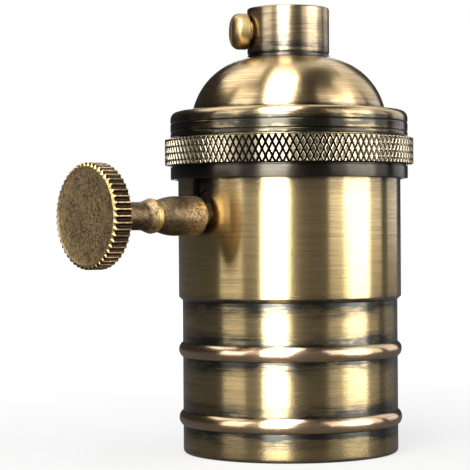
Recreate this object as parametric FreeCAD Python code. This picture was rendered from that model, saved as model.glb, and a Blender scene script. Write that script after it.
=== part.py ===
"""Switched screw lamp holder: a beaded metal shell hung from a domed cap by a knurled union ring.

Lengths are in millimetres and angles in degrees. Heights run up from the open rim of the shell while the
pieces are built, and export() then moves them so that the origin is the centre of the neck's mouth, with
+Z up. The knob's shaft points along -X. Sizes run from the lamp's thread outwards and from the rim upwards.
"""

import FreeCAD, Part
import math
import os

V = FreeCAD.Vector
X_AXIS, Y_AXIS, Z_AXIS = V(1, 0, 0), V(0, 1, 0), V(0, 0, 1)
CENTRE = V(0, 0, 0)

# Clearances
seat_gap = 0.05        # between pieces that are clamped or pressed together
fit_gap = 0.1          # between pieces that slide, turn or screw on each other
stack_gap = 0.2        # between the turned edges that show
insert_gap = 0.3       # under the cap's flange, which holds the insert down

# Screw shell that takes the lamp
thread_minor_r = 12.25
thread_depth = 1.0
thread_pitch = 3.62
thread_turns = 5
thread_steps = 8       # facets to a turn of the rolled waves
thread_lead_in = 0.5
thread_lead_out = 1.85
mouth_relief = 0.2     # the plain mouth is this much wider than the thread
mouth_length = 2.2
mouth_setback = 0.9
screw_shell_wall = 0.35
eye_gap = 0.5          # round the porcelain boss

# Porcelain socket
skirt_space = 0.45     # round the screw shell
skirt_wall = 1.65
skirt_edge_r = 0.5
floor_thickness = 5.3
flange_space = 0.2
boss_r = 5.4
boss_height = 0.8

# Outer shell, pressed from sheet
shell_wall = 0.8
shell_space = 0.6      # round the porcelain skirt
rim_space = 0.4        # under the porcelain skirt
rim_turn_in = 1.85
rim_corner_r = 0.6
step_out = 0.6
step_rise = 0.55
bead_heights = (5.65, 16.6)
bead_half_width = 1.2
bead_rise = 0.65
shell_thread_stand = 0.4
shell_thread_length = 3.6
slot_width = 4.2

# Knurled union ring
ring_wall = 0.7
ring_overlap = 4.7     # how far the ring comes down over the shell
ring_lip_height = 2.0
ring_groove_depth = 0.25
ring_groove_height = 0.2
ring_collar_thickness = 1.1
knurl_stand = 0.9      # the knurl's crests outside the lip
knurl_depth = 0.4
knurl_rows = 4         # half diamonds up the band
knurl_count = 120      # diamonds round the band
knurl_bevel = 0.35

# Cap, pressed from sheet, and the ferrule inside it that carries the ring
cap_wall = 1.0
cap_skirt_height = 2.85
cap_corner_r = 1.25
cap_shoulder_drop = 0.15
shoulder_width = 3.6
dome_arc_r = 11.1
dome_foot_turn = 12.2  # the dome's arc starts this far up from level
skirt_line_heights = (0.7, 2.15)
skirt_line_depth = 0.14
skirt_line_width = 0.32
ferrule_wall = 1.4
ferrule_flange_thickness = 0.6

# Neck bush with its locking screw
neck_bore_r = 4.5
neck_wall = 2.1
neck_length = 7.9
neck_spigot_wall = 1.1
swage_width = 0.55
swage_height = 1.1
neck_edge = 0.35
neck_line_height = 0.45
neck_line_depth = 0.2
neck_line_width = 0.35
lock_screw_drop = 3.8
lock_screw_bearing = 153.5
lock_screw_head_r = 2.9
lock_screw_head_height = 2.7
lock_screw_head_round = 0.9
lock_screw_shank_r = 1.95
lock_screw_slot = 0.8

# Earth tab, clamped round the neck's spigot inside the dome
earth_tab_thickness = 0.8
earth_tab_r = 7.4
earth_tab_width = 6.0
earth_tab_drop = 7.5
earth_tab_bend = 0.5
earth_screw_rise = 3.0
earth_screw_length = 2.7

# Knob, measured out along its own axis
knob_standoff = 1.1
knob_r = 8.0
knob_thickness = 3.2
knob_bevel = 0.35
knob_flutes = 50
flute_depth = 0.42
flute_width = 0.62
barrel_r = 3.05
barrel_length = 5.5
barrel_edge = 0.35
ogive_length = 3.6
ogive_fullness = 0.72
stem_waist_r = 2.3
collar_r = 2.72
collar_length = 1.5
stem_neck_r = 2.0
stem_neck_length = 7.2
stem_flare = 0.7
knob_bore_r = 1.5
knob_bore_depth = 7.5

# Shaft, bush and rotor of the switch
shaft_r = 1.9
shaft_flat_depth = 0.5
shaft_bearing_depth = 2.6
clip_r = 3.3
clip_thickness = 0.6
clip_groove_depth = 0.45
bush_wall = 1.15
bush_flange_r = 4.1
bush_flange_thickness = 0.8
rotor_r = 4.2
rotor_length = 8.0
rotor_end_space = 2.0
rotor_space_below = 1.6
rotor_space_above = 1.15
contact_sheet = 0.4
contact_width = 5.0
contact_half_height = 2.5
contact_bend = 0.3
contact_tail = 3.0

# Switch moulding and its cover
moulding_space = 0.4
moulding_floor = 1.65
cavity_length = 17.0
cavity_corner_r = 1.0
web_wall = 0.55        # between the cavity and the screws beside it
cover_thickness = 2.6
cover_rim_height = 2.35
cover_rim_wall = 1.4
barrier_height = 1.6
barrier_thickness = 1.6
barrier_length = 24.0

# Screws, nuts and terminals; each pair stands at plus and minus its second coordinate
screw_place = (-4.0, 8.3)
terminal_place = (2.9, 9.2)
screw_r = 1.45
screw_head_r = 2.4
screw_head_height = 1.5
screw_head_round = 0.45
screw_slot = 0.7
screw_end = 0.6
nut_flats = 5.5
nut_height = 2.2
terminal_sheet = 0.8
terminal_lug_height = 2.2
terminal_bend = 0.4
terminal_post_r = 2.1
line_post_length = 5.5
neutral_post_length = 4.0
terminal_screw_length = 4.2
terminal_head_r = 2.4
terminal_head_height = 1.9

# Centre contact and its rivet
tongue_half_length = 4.6
tongue_width = 5.6
tongue_drop = 2.6
tongue_tip = 0.4
tongue_upturn = 1.3
rivet_r = 1.1
rivet_head_r = 1.7
rivet_head_height = 0.7

# Radii worked out from the lamp's thread outwards
thread_major_r = thread_minor_r + thread_depth
mouth_r = thread_major_r + mouth_relief
eye_r = boss_r + eye_gap
skirt_inner_r = mouth_r + screw_shell_wall + skirt_space
skirt_outer_r = skirt_inner_r + skirt_wall
shell_lower_r = skirt_outer_r + shell_space + shell_wall
shell_upper_r = shell_lower_r + step_out
shell_inner_r = shell_upper_r - shell_wall
shell_thread_r = shell_upper_r + shell_thread_stand
flange_r = shell_inner_r - flange_space
moulding_r = shell_inner_r - moulding_space
ring_bore_r = shell_thread_r + fit_gap
ring_lip_r = ring_bore_r + ring_wall
knurl_tip_r = ring_lip_r + knurl_stand
cap_skirt_r = ring_lip_r
cap_inner_r = cap_skirt_r - cap_wall
dome_foot_r = cap_skirt_r - shoulder_width
dome_arc_centre_r = dome_foot_r - dome_arc_r * math.cos(math.radians(dome_foot_turn))
ferrule_r = cap_inner_r - 2 * insert_gap
ferrule_bore_r = ferrule_r - ferrule_wall
neck_r = neck_bore_r + neck_wall
spigot_r = neck_bore_r + neck_spigot_wall

# Levels worked out from the rim upwards
skirt_bottom = shell_wall + rim_space
mouth_bottom = skirt_bottom + mouth_setback
mouth_top = mouth_bottom + mouth_length
thread_bottom = mouth_top + thread_lead_in
thread_top = thread_bottom + thread_turns * thread_pitch
disc_bottom = thread_top + thread_lead_out
disc_top = disc_bottom + screw_shell_wall
floor_bottom = disc_top + seat_gap
floor_top = floor_bottom + floor_thickness
boss_bottom = floor_bottom - boss_height
step_top = floor_bottom - fit_gap
step_bottom = step_top - step_rise
step_shift = shell_wall * math.tan(math.atan2(step_out, step_rise) / 2)
moulding_bottom = floor_top + seat_gap
cavity_floor = moulding_bottom + moulding_floor
shaft_level = cavity_floor + rotor_space_below + rotor_r
moulding_top = shaft_level + rotor_r + rotor_space_above
cover_bottom = moulding_top + seat_gap
cover_top = cover_bottom + cover_thickness
cover_rim_top = cover_top + cover_rim_height
ferrule_bottom = cover_rim_top + insert_gap
shell_top = ferrule_bottom - fit_gap
ring_bottom = shell_top - ring_overlap
ring_collar_bottom = ferrule_bottom + ferrule_flange_thickness + fit_gap
ring_top = ring_collar_bottom + ring_collar_thickness
ring_lip_top = ring_bottom + ring_lip_height
knurl_bottom = ring_lip_top + ring_groove_height
cap_bottom = ring_top + stack_gap
shoulder_edge = cap_bottom + cap_skirt_height + cap_corner_r
dome_foot = shoulder_edge + cap_shoulder_drop
dome_arc_centre = dome_foot - dome_arc_r * math.sin(math.radians(dome_foot_turn))
crown = dome_arc_centre + math.sqrt(dome_arc_r**2 - (neck_r - dome_arc_centre_r) ** 2)
neck_top = crown + neck_length
dome_rise_at_tab = math.sqrt((dome_arc_r - cap_wall) ** 2 - (earth_tab_r - dome_arc_centre_r) ** 2)
earth_tab_top = dome_arc_centre + dome_rise_at_tab - seat_gap
earth_tab_bottom = earth_tab_top - earth_tab_thickness

# Stations out along the knob's axis
stem_start = shell_upper_r + knob_standoff
barrel_end = stem_start + barrel_length
waist = barrel_end + ogive_length
collar_end = waist + collar_length
disc_back = collar_end + stem_neck_length
knob_face = disc_back + knob_thickness
cavity_end = cavity_length / 2
rotor_end = cavity_end - rotor_end_space
rotor_start = rotor_end - rotor_length
cavity_half_width = screw_place[1] - screw_r - seat_gap - web_wall
bush_r = shaft_r + seat_gap + bush_wall
terminal_half_width = terminal_head_r + fit_gap + terminal_bend + terminal_sheet


def rot(shape, axis, angle, centre=CENTRE):
    """A copy of the shape turned about an axis through a centre."""
    turned_copy = shape.copy()
    turned_copy.rotate(centre, axis, angle)
    return turned_copy


def moved(shape, x=0.0, y=0.0, z=0.0):
    """A copy of the shape moved by a distance."""
    shifted = shape.copy()
    shifted.translate(V(x, y, z))
    return shifted


def rod(radius, low, high, x=0.0, y=0.0):
    """An upright cylinder between two heights."""
    return Part.makeCylinder(radius, high - low, V(x, y, low), Z_AXIS)


def shaft_rod(radius, start, end):
    """A cylinder on the shaft's axis, between two distances from the lamp's axis towards the knob."""
    return Part.makeCylinder(radius, end - start, V(-start, 0, shaft_level), -X_AXIS)


def block(x0, x1, y0, y1, z0, z1):
    """A box between opposite corners."""
    return Part.makeBox(x1 - x0, y1 - y0, z1 - z0, V(x0, y0, z0))


def fillet_arc(before, point, after, radius):
    """The two tangent points of a rounded corner, and its arc."""
    to_before = (before - point).normalize()
    to_after = (after - point).normalize()
    half = to_before.getAngle(to_after) / 2
    reach = radius / math.tan(half)
    first, last = point + to_before * reach, point + to_after * reach
    bow = point + (to_before + to_after).normalize() * (radius / math.sin(half) - radius)
    return first, last, Part.Arc(first, bow, last).toShape()


def profile_edges(items, closed=True):
    """Edges through (r, z) or (r, z, fillet) items; an ("arc", r, z) item bows the edge that it stands in."""
    points, fillets, bows = [], [], {}
    for item in items:
        if item[0] == "arc":
            bows[len(points) - 1] = V(item[1], 0, item[2])
        else:
            points.append(V(item[0], 0, item[1]))
            fillets.append(item[2] if len(item) > 2 else 0.0)
    count = len(points)
    starts, ends, corners = list(points), list(points), {}
    for i, radius in enumerate(fillets):
        if radius > 0:
            before, after = points[i - 1], points[(i + 1) % count]
            ends[i], starts[i], corners[i] = fillet_arc(before, points[i], after, radius)
    edges = []
    for i in range(count if closed else count - 1):
        following = (i + 1) % count
        if i in corners:
            edges.append(corners[i])
        if i in bows:
            edges.append(Part.Arc(starts[i], bows[i], ends[following]).toShape())
        elif (ends[following] - starts[i]).Length > 1e-6:
            edges.append(Part.LineSegment(starts[i], ends[following]).toShape())
    return edges


def section(items):
    """A flat face in the XZ plane from the items of a closed profile."""
    return Part.Face(Part.Wire(profile_edges(items)))


def turned(items):
    """A solid of revolution about the lamp's axis, from a closed half section."""
    return section(items).revolve(CENTRE, Z_AXIS, 360)


def strip(path, thickness, width, bend):
    """Sheet bent along a path in the XZ plane, on its left, centred on Y = 0; bend is the inner radius."""
    near, far = [], []
    last = len(path) - 1
    for i, (x, z) in enumerate(path):
        normals = []
        for a, b in ((i - 1, i), (i, i + 1)):
            if a >= 0 and b <= last:
                run = V(path[b][0] - path[a][0], 0, path[b][1] - path[a][1]).normalize()
                normals.append(V(-run.z, 0, run.x))
        if len(normals) == 1:
            offset, left_turn, radii = normals[0] * thickness, True, (0.0, 0.0)
        else:
            offset = (normals[0] + normals[1]) * (thickness / (1 + normals[0].dot(normals[1])))
            left_turn = normals[0].cross(normals[1]).y < 0
            radii = (bend + thickness, bend)
        near.append((x, z, radii[0] if left_turn else radii[1]))
        far.append((x + offset.x, z + offset.z, radii[1] if left_turn else radii[0]))
    return moved(section(near + far[::-1]).extrude(V(0, width, 0)), y=-width / 2)


def on_shaft_axis(shape):
    """Lays a shape built up the lamp's axis along the shaft's axis, towards the knob."""
    return moved(rot(shape, Y_AXIS, -90), z=shaft_level)


def slotted_screw(head_r, head_height, head_round, shank_r, length, slot):
    """A round-edged screw with a slot: its head stands on z = 0 and its shank hangs down."""
    point = shank_r / 5
    screw = turned([
        (0, -length),
        (shank_r - point, -length),
        (shank_r, point - length),
        (shank_r, 0),
        (head_r, 0, head_round / 3),
        (head_r, head_height, head_round),
        (0, head_height),
    ])
    return screw.cut(block(-slot / 2, slot / 2, -2 * head_r, 2 * head_r, head_height * 0.6, 2 * head_height))


def hex_nut(flats, height, bore_r):
    """A nut standing on z = 0 with two flats facing X and bevelled corners."""
    corner_r = flats / math.sqrt(3)
    turns = [math.radians(60 * i + 30) for i in range(7)]
    outline = Part.makePolygon([V(corner_r * math.cos(a), corner_r * math.sin(a), 0) for a in turns])
    bevel = corner_r - flats / 2
    envelope = turned([
        (0, 0),
        (flats / 2, 0),
        (corner_r + fit_gap, bevel),
        (corner_r + fit_gap, height - bevel),
        (flats / 2, height),
        (0, height),
    ])
    nut = Part.Face(outline).extrude(V(0, 0, height)).common(envelope)
    return nut.cut(rod(bore_r, -1, height + 1))


def both_sides(place, shape, other=None):
    """One shape at a place and another, or the same one, at its mirror place across the XZ plane."""
    x, y = place
    return Part.makeCompound([moved(shape, x=x, y=y), moved(other or shape, x=x, y=-y)])


def screw_holes(low, high):
    """Clearance holes for the two socket screws."""
    hole = rod(screw_r + seat_gap, low, high)
    return both_sides(screw_place, hole)


def bead_arc(radius, height, wall):
    """One rolled bead's section, from foot to foot upwards, on the sheet's face that lies in by a wall."""
    arc_r = (bead_half_width**2 + bead_rise**2) / (2 * bead_rise)
    centre_r = radius + bead_rise - arc_r
    half = math.sqrt((arc_r - wall) ** 2 - (radius - wall - centre_r) ** 2)
    foot_r = radius - wall
    return [(foot_r, height - half), ("arc", centre_r + arc_r - wall, height), (foot_r, height + half)]


def outer_shell():
    """The beaded shell: a turned-in rim, a step that carries the insert, and a slotted, threaded mouth."""
    lower_inner_r = shell_lower_r - shell_wall
    thread_inner_r = shell_thread_r - shell_wall
    mouth_r_below = shell_lower_r - rim_turn_in
    thread_foot = shell_top - shell_thread_length
    thread_start = thread_foot + shell_thread_stand
    outside, inside = [(mouth_r_below, 0), (shell_lower_r, 0, rim_corner_r)], []
    for height in bead_heights:
        outside += bead_arc(shell_lower_r, height, 0)
        inside = bead_arc(shell_lower_r, height, shell_wall)[::-1] + inside
    shell = turned([
        *outside,
        (shell_lower_r, step_bottom),
        (shell_upper_r, step_top),
        (shell_upper_r, thread_foot),
        (shell_thread_r, thread_start),
        (shell_thread_r, shell_top, shell_wall / 4),
        (thread_inner_r, shell_top),
        (thread_inner_r, thread_start),
        (shell_inner_r, thread_foot),
        (shell_inner_r, step_top + step_shift),
        (lower_inner_r, step_bottom + step_shift),
        *inside,
        (lower_inner_r, shell_wall),
        (mouth_r_below, shell_wall),
    ])
    half = slot_width / 2
    slot = block(-2 * shell_upper_r, 0, -half, half, shaft_level, shell_top + 1)
    return shell.cut(slot.fuse(shaft_rod(half, 0, 2 * shell_upper_r)))


def knurl_lattice(column, row):
    """A point of the knurl: grooves cross where column + row is even, and diamonds peak between them."""
    root_r = knurl_tip_r - knurl_depth
    angle = math.pi * column / knurl_count
    if row < 0 or row > knurl_rows:
        radius = knurl_tip_r - knurl_depth - knurl_bevel / 2
        height = knurl_bottom if row < 0 else ring_top
    else:
        radius = root_r if (column + row) % 2 == 0 else knurl_tip_r
        spaced = knurl_bottom + row * (ring_top - knurl_bottom) / knurl_rows
        height = min(max(spaced, knurl_bottom + knurl_bevel), ring_top - knurl_bevel)
    return V(radius * math.cos(angle), radius * math.sin(angle), height)


def knurl_facets():
    """The facets of the diamond knurling, two to each cell of the lattice."""
    facets = []
    for row in range(-1, knurl_rows + 1):
        for column in range(2 * knurl_count):
            following = (column + 1) % (2 * knurl_count)
            near, far = knurl_lattice(column, row), knurl_lattice(following, row)
            over_near, over_far = knurl_lattice(column, row + 1), knurl_lattice(following, row + 1)
            if (column + row) % 2 == 0:
                halves = ((near, far, over_far), (near, over_far, over_near))
            else:
                halves = ((near, far, over_near), (far, over_far, over_near))
            facets += [Part.Face(Part.makePolygon([a, b, c, a])) for a, b, c in halves]
    return facets


def knurled_ring():
    """The union ring: a knurled band over a plain lip, and a collar that turns on the ferrule."""
    groove_r = ring_lip_r - ring_groove_depth
    collar_bore_r = ferrule_r + fit_gap
    plain = profile_edges([
        (groove_r, knurl_bottom),
        (groove_r, ring_lip_top),
        (ring_lip_r, ring_lip_top, ring_groove_depth / 2),
        (ring_lip_r, ring_bottom, ring_groove_depth / 2),
        (ring_bore_r, ring_bottom),
        (ring_bore_r, ring_collar_bottom),
        (collar_bore_r, ring_collar_bottom),
        (collar_bore_r, ring_top),
    ], closed=False)
    skins = knurl_facets() + [edge.revolve(CENTRE, Z_AXIS, 360) for edge in plain]
    for row, inner_r in ((-1, groove_r), (knurl_rows + 1, collar_bore_r)):
        rim = [knurl_lattice(column, row) for column in range(2 * knurl_count)]
        circle = Part.Wire(Part.makeCircle(inner_r, V(0, 0, rim[0].z)))
        skins.append(Part.Face([Part.makePolygon(rim + rim[:1]), circle]))
    skin = Part.makeCompound(skins)
    skin.sewShape()
    solid = Part.Solid(Part.Shell(skin.Faces))
    return solid.reversed() if solid.Volume < 0 else solid


def dome_point(radius, turn):
    """A point on an arc about the dome's centre of curvature, at an angle up from level."""
    return dome_arc_centre_r + radius * math.cos(turn), dome_arc_centre + radius * math.sin(turn)


def cap_dome():
    """The pressed cap: a skirt with two fine lines, a soft shoulder and a dome with the neck's hole."""
    inner_arc_r = dome_arc_r - cap_wall
    inner_level = dome_foot - cap_wall
    hole_r = spigot_r + seat_gap
    foot = math.radians(dome_foot_turn)
    top = math.acos((neck_r - dome_arc_centre_r) / dome_arc_r)
    inner_foot = math.asin((inner_level - dome_arc_centre) / inner_arc_r)
    inner_top = math.asin((crown - cap_wall - dome_arc_centre) / inner_arc_r)
    inner_edge = inner_level - cap_shoulder_drop
    lines = []
    for height in skirt_line_heights:
        level = cap_bottom + height
        lines += [
            (cap_skirt_r, level - skirt_line_width / 2),
            (cap_skirt_r - skirt_line_depth, level),
            (cap_skirt_r, level + skirt_line_width / 2),
        ]
    return turned([
        (cap_inner_r, cap_bottom),
        (cap_skirt_r, cap_bottom, cap_wall / 10),
        *lines,
        (cap_skirt_r, shoulder_edge, cap_corner_r),
        dome_point(dome_arc_r, foot),
        ("arc", *dome_point(dome_arc_r, (foot + top) / 2)),
        (neck_r, crown),
        (hole_r, crown),
        (hole_r, crown - cap_wall),
        dome_point(inner_arc_r, inner_top),
        ("arc", *dome_point(inner_arc_r, (inner_foot + inner_top) / 2)),
        dome_point(inner_arc_r, inner_foot),
        (cap_inner_r, inner_edge, cap_corner_r / 4),
    ])


def cap_ferrule():
    """The turned ferrule pressed into the cap's skirt; the ring's collar pulls on its flange."""
    pressed_r = cap_inner_r - seat_gap
    flange_top = ring_collar_bottom - fit_gap
    ferrule_top = cap_bottom + cap_skirt_height
    return turned([
        (ferrule_bore_r, ferrule_bottom),
        (shell_thread_r, ferrule_bottom),
        (shell_thread_r, flange_top),
        (ferrule_r, flange_top),
        (ferrule_r, cap_bottom),
        (pressed_r, cap_bottom),
        (pressed_r, ferrule_top),
        (ferrule_bore_r, ferrule_top),
    ])


def on_lock_screw_axis(shape):
    """Lays a shape built up from the neck's wall at z = 0 out along the locking screw's bearing."""
    out = rot(moved(shape, z=neck_r), Y_AXIS, 90)
    return moved(rot(out, Z_AXIS, lock_screw_bearing), z=neck_top - lock_screw_drop)


def neck_bush():
    """The turned neck: a bore for the pipe, a tapped side hole, and a spigot swaged over inside the dome."""
    line = crown + neck_line_height
    bush = turned([
        (neck_bore_r, earth_tab_bottom - swage_height),
        (spigot_r, earth_tab_bottom - swage_height),
        (spigot_r + swage_width, earth_tab_bottom - seat_gap),
        (spigot_r, earth_tab_bottom - seat_gap),
        (spigot_r, crown),
        (neck_r, crown),
        (neck_r, line - neck_line_width / 2),
        (neck_r - neck_line_depth, line),
        (neck_r, line + neck_line_width / 2),
        (neck_r, neck_top, neck_edge),
        (neck_bore_r, neck_top),
    ])
    return bush.cut(on_lock_screw_axis(rod(lock_screw_shank_r + seat_gap, -neck_r, neck_r)))


def neck_lock_screw():
    """The screw in the neck's side, whose tip is level with the bore."""
    screw = slotted_screw(
        lock_screw_head_r,
        lock_screw_head_height,
        lock_screw_head_round,
        lock_screw_shank_r,
        neck_wall,
        lock_screw_slot,
    )
    placed = on_lock_screw_axis(moved(screw, z=fit_gap))
    return placed.cut(rod(neck_bore_r, crown, 2 * neck_top - crown))


def earth_tab():
    """The earthing tab: an eye round the neck's spigot and a leg bent down with a hole for its screw."""
    path = [(0, earth_tab_bottom), (earth_tab_r - earth_tab_thickness, earth_tab_bottom)]
    path.append((earth_tab_r - earth_tab_thickness, earth_tab_bottom - earth_tab_drop))
    tab = strip(path, earth_tab_thickness, earth_tab_width, earth_tab_bend)
    tab = tab.fuse(rod(earth_tab_r, earth_tab_bottom, earth_tab_top)).removeSplitter()
    level = earth_tab_bottom - earth_tab_drop + earth_screw_rise
    hole = Part.makeCylinder(screw_r + seat_gap, earth_tab_r, V(spigot_r, 0, level), X_AXIS)
    return tab.cut(rod(spigot_r + seat_gap, 0, neck_top)).cut(hole)


def earth_screw():
    """The earth terminal's screw, with its head on the outer face of the tab's leg."""
    level = earth_tab_bottom - earth_tab_drop + earth_screw_rise
    screw = slotted_screw(
        screw_head_r, screw_head_height, screw_head_round, screw_r, earth_screw_length, screw_slot
    )
    return moved(rot(screw, Y_AXIS, 90), x=earth_tab_r + seat_gap, z=level)


def fluted_disc():
    """The knob's disc: a fluted outline extruded along the shaft's axis and bevelled at both faces."""
    half = math.asin(flute_width / 2 / knob_r)
    pitch = 2 * math.pi / knob_flutes

    def at(radius, angle):
        return V(radius * math.cos(angle), radius * math.sin(angle), disc_back)

    edges = []
    for flute in range(knob_flutes):
        middle = flute * pitch
        start, end, following = middle - half, middle + half, middle - half + pitch
        hollow = Part.Arc(at(knob_r, start), at(knob_r - flute_depth, middle), at(knob_r, end))
        crest = Part.Arc(at(knob_r, end), at(knob_r, middle + pitch / 2), at(knob_r, following))
        edges += [hollow.toShape(), crest.toShape()]
    disc = Part.Face(Part.Wire(edges)).extrude(V(0, 0, knob_thickness))
    outer_r = knob_r + fit_gap
    envelope = turned([
        (0, disc_back),
        (outer_r - knob_bevel, disc_back),
        (outer_r, disc_back + knob_bevel),
        (outer_r, knob_face - knob_bevel),
        (outer_r - knob_bevel, knob_face),
        (0, knob_face),
    ])
    return disc.common(envelope)


def switch_knob():
    """The turned knob: fluted disc, slim neck, collar, and a barrel screwed over the end of the shaft."""
    ogive_r = stem_waist_r + (barrel_r - stem_waist_r) * ogive_fullness
    collar_edge_r = collar_r - collar_length / 4
    flare_r = stem_neck_r + stem_flare
    middle = disc_back + knob_thickness / 2
    stem = turned([
        (0, stem_start),
        (barrel_r, stem_start, barrel_edge),
        (barrel_r, barrel_end),
        ("arc", ogive_r, (barrel_end + waist) / 2),
        (stem_waist_r, waist),
        (collar_edge_r, waist),
        ("arc", collar_r, waist + collar_length / 2),
        (collar_edge_r, collar_end),
        (stem_neck_r, collar_end),
        (stem_neck_r, disc_back - stem_flare),
        ("arc", stem_neck_r + stem_flare / 3, disc_back - stem_flare / 3),
        (flare_r, disc_back),
        (flare_r, middle),
        (0, middle),
    ])
    bore = rod(knob_bore_r + seat_gap, 0, stem_start + knob_bore_depth + seat_gap)
    return on_shaft_axis(stem.fuse(fluted_disc()).removeSplitter().cut(bore))


def switch_shaft():
    """The shaft: a nose in the knob, a groove for its ring, a flat for the rotor and an inner journal."""
    nose_start = stem_start - fit_gap
    shaft = shaft_rod(shaft_r, -cavity_end - shaft_bearing_depth + fit_gap, nose_start)
    shaft = shaft.fuse(shaft_rod(knob_bore_r, nose_start, stem_start + knob_bore_depth))
    groove_end = cavity_end - fit_gap / 2
    groove_start = groove_end - fit_gap - clip_thickness
    collar = shaft_rod(2 * shaft_r, groove_start, groove_end)
    shaft = shaft.cut(collar.cut(shaft_rod(shaft_r - clip_groove_depth, groove_start, groove_end)))
    flat = shaft_level + shaft_r - shaft_flat_depth
    return shaft.cut(block(rotor_start, rotor_end + contact_sheet, -shaft_r, shaft_r, flat, flat + shaft_r))


def shaft_bush():
    """The flanged bush that the shaft turns in, flush with the moulding's side."""
    outer_end = math.sqrt(moulding_r**2 - bush_flange_r**2)
    bush = shaft_rod(bush_r, cavity_end, outer_end)
    bush = bush.fuse(shaft_rod(bush_flange_r, outer_end - bush_flange_thickness, outer_end)).removeSplitter()
    return bush.cut(shaft_rod(shaft_r + seat_gap, 0, 2 * outer_end))


def shaft_clip():
    """The open retaining ring in the shaft's groove, against the inside of the moulding's wall."""
    start = cavity_end - fit_gap - clip_thickness
    groove_r = shaft_r - clip_groove_depth
    ring = shaft_rod(clip_r, start, start + clip_thickness)
    ring = ring.cut(shaft_rod(groove_r + seat_gap, 0, cavity_length))
    return ring.cut(block(-cavity_length, 0, -groove_r, groove_r, shaft_level - 2 * clip_r, shaft_level))


def rotor_bridge(gap=0.0):
    """The folded brass bridge: curved legs on opposite sides of the drum and a web across its inner end."""
    inner_r = rotor_r - contact_sheet - gap
    leg_start = terminal_place[0] - contact_width / 2 - gap
    legs = shaft_rod(rotor_r, -rotor_end, -leg_start).cut(shaft_rod(inner_r, -rotor_end, -leg_start))
    bridge = legs.fuse(shaft_rod(rotor_r, -rotor_end - contact_sheet, -rotor_end))
    half = contact_half_height + gap
    band = block(-cavity_length, cavity_length, -rotor_r, rotor_r, shaft_level - half, shaft_level + half)
    return bridge.common(band).removeSplitter()


def rotor_contact():
    """The bridge that joins the two contact springs at every other quarter turn."""
    return rotor_bridge().cut(shaft_rod(shaft_r + seat_gap, -cavity_length, 0))


def switch_rotor():
    """The moulded drum, keyed to the shaft's flat, with recesses for the bridge."""
    drum = shaft_rod(rotor_r, -rotor_end, -rotor_start)
    bore = shaft_rod(shaft_r + seat_gap, -cavity_length, cavity_length)
    flat = shaft_level + shaft_r - shaft_flat_depth + seat_gap
    above_flat = block(-cavity_length, cavity_length, -rotor_r, rotor_r, flat, flat + rotor_r)
    return drum.cut(bore.cut(above_flat)).cut(rotor_bridge(seat_gap))


def foot_reach():
    """How far the line spring's foot reaches, past the terminal's post."""
    return terminal_place[1] + terminal_post_r + 2 * contact_sheet


def line_contact_spring():
    """The spring beside the drum that hangs from the line terminal's post, with its foot on the moulding."""
    outer = rotor_r + fit_gap + contact_sheet
    foot = moulding_top - contact_sheet
    path = [(outer, shaft_level - contact_tail), (outer, foot), (foot_reach(), foot)]
    spring = rot(strip(path, contact_sheet, contact_width, contact_bend), Z_AXIS, 90)
    spring = moved(spring, x=terminal_place[0])
    return spring.cut(rod(terminal_post_r + seat_gap, foot - 1, moulding_top + 1, *terminal_place))


def load_contact_spring():
    """The spring on the drum's other side, held on the moulding's floor by the centre rivet's head."""
    outer = -(rotor_r + fit_gap + contact_sheet)
    foot = rivet_head_r + contact_sheet
    path = [(outer, shaft_level + contact_tail), (outer, cavity_floor), (foot, cavity_floor)]
    spring = rot(strip(path, contact_sheet, contact_width, contact_bend), Z_AXIS, 90)
    spring = moved(spring, x=terminal_place[0])
    return spring.cut(rod(rivet_r + seat_gap, cavity_floor - 1, cavity_floor + 1, terminal_place[0]))


def line_foot_recess():
    """The shallow recess in the moulding's top for the line spring's foot, and the post's pocket under it."""
    x, y = terminal_place
    half = contact_width / 2 + fit_gap
    reach = foot_reach() + fit_gap
    recess = block(x - half, x + half, 0, reach, moulding_top - contact_sheet - seat_gap, moulding_top + 1)
    pocket_floor = cover_top - line_post_length - fit_gap
    return recess.fuse(rod(terminal_post_r + seat_gap, pocket_floor, moulding_top + 1, x, y))


def switch_body():
    """The switch moulding: a round block with the rotor's cavity, a bushed bore and a blind bearing."""
    body = rod(moulding_r, moulding_bottom, moulding_top)
    half = cavity_half_width
    cavity = block(-cavity_end, cavity_end, -half, half, cavity_floor, moulding_top + 1)
    upright = [e for e in cavity.Edges if abs(e.tangentAt(e.FirstParameter).z) > 0.99]
    body = body.cut(cavity.makeFillet(cavity_corner_r, upright))
    flange_seat = math.sqrt(moulding_r**2 - bush_flange_r**2) - bush_flange_thickness
    bores = shaft_rod(bush_r + seat_gap, 0, 2 * moulding_r)
    bores = bores.fuse(shaft_rod(bush_flange_r + seat_gap, flange_seat - seat_gap, 2 * moulding_r))
    bores = bores.fuse(shaft_rod(shaft_r + seat_gap, -cavity_end - shaft_bearing_depth, 0))
    body = body.cut(bores).cut(screw_holes(0, neck_top)).cut(line_foot_recess())
    neutral_post = rod(terminal_post_r + seat_gap, cover_top - neutral_post_length - fit_gap, neck_top)
    body = body.cut(moved(neutral_post, x=terminal_place[0], y=-terminal_place[1]))
    return body.cut(rod(rivet_r + seat_gap, 0, cavity_floor + 1, terminal_place[0]))


def switch_cover():
    """The switch's cover: a rim that the cap holds down, and a barrier between the two terminals."""
    cover = turned([
        (0, cover_bottom),
        (moulding_r, cover_bottom),
        (moulding_r, cover_rim_top, cover_rim_wall / 4),
        (moulding_r - cover_rim_wall, cover_rim_top, cover_rim_wall / 4),
        (moulding_r - cover_rim_wall, cover_top),
        (0, cover_top),
    ])
    half_length, half = barrier_length / 2, barrier_thickness / 2
    barrier = block(-half_length, half_length, -half, half, cover_bottom, cover_top + barrier_height)
    cover = cover.fuse(barrier)
    posts = both_sides(terminal_place, rod(terminal_post_r + seat_gap, 0, neck_top))
    return cover.removeSplitter().cut(posts).cut(screw_holes(0, neck_top))


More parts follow.
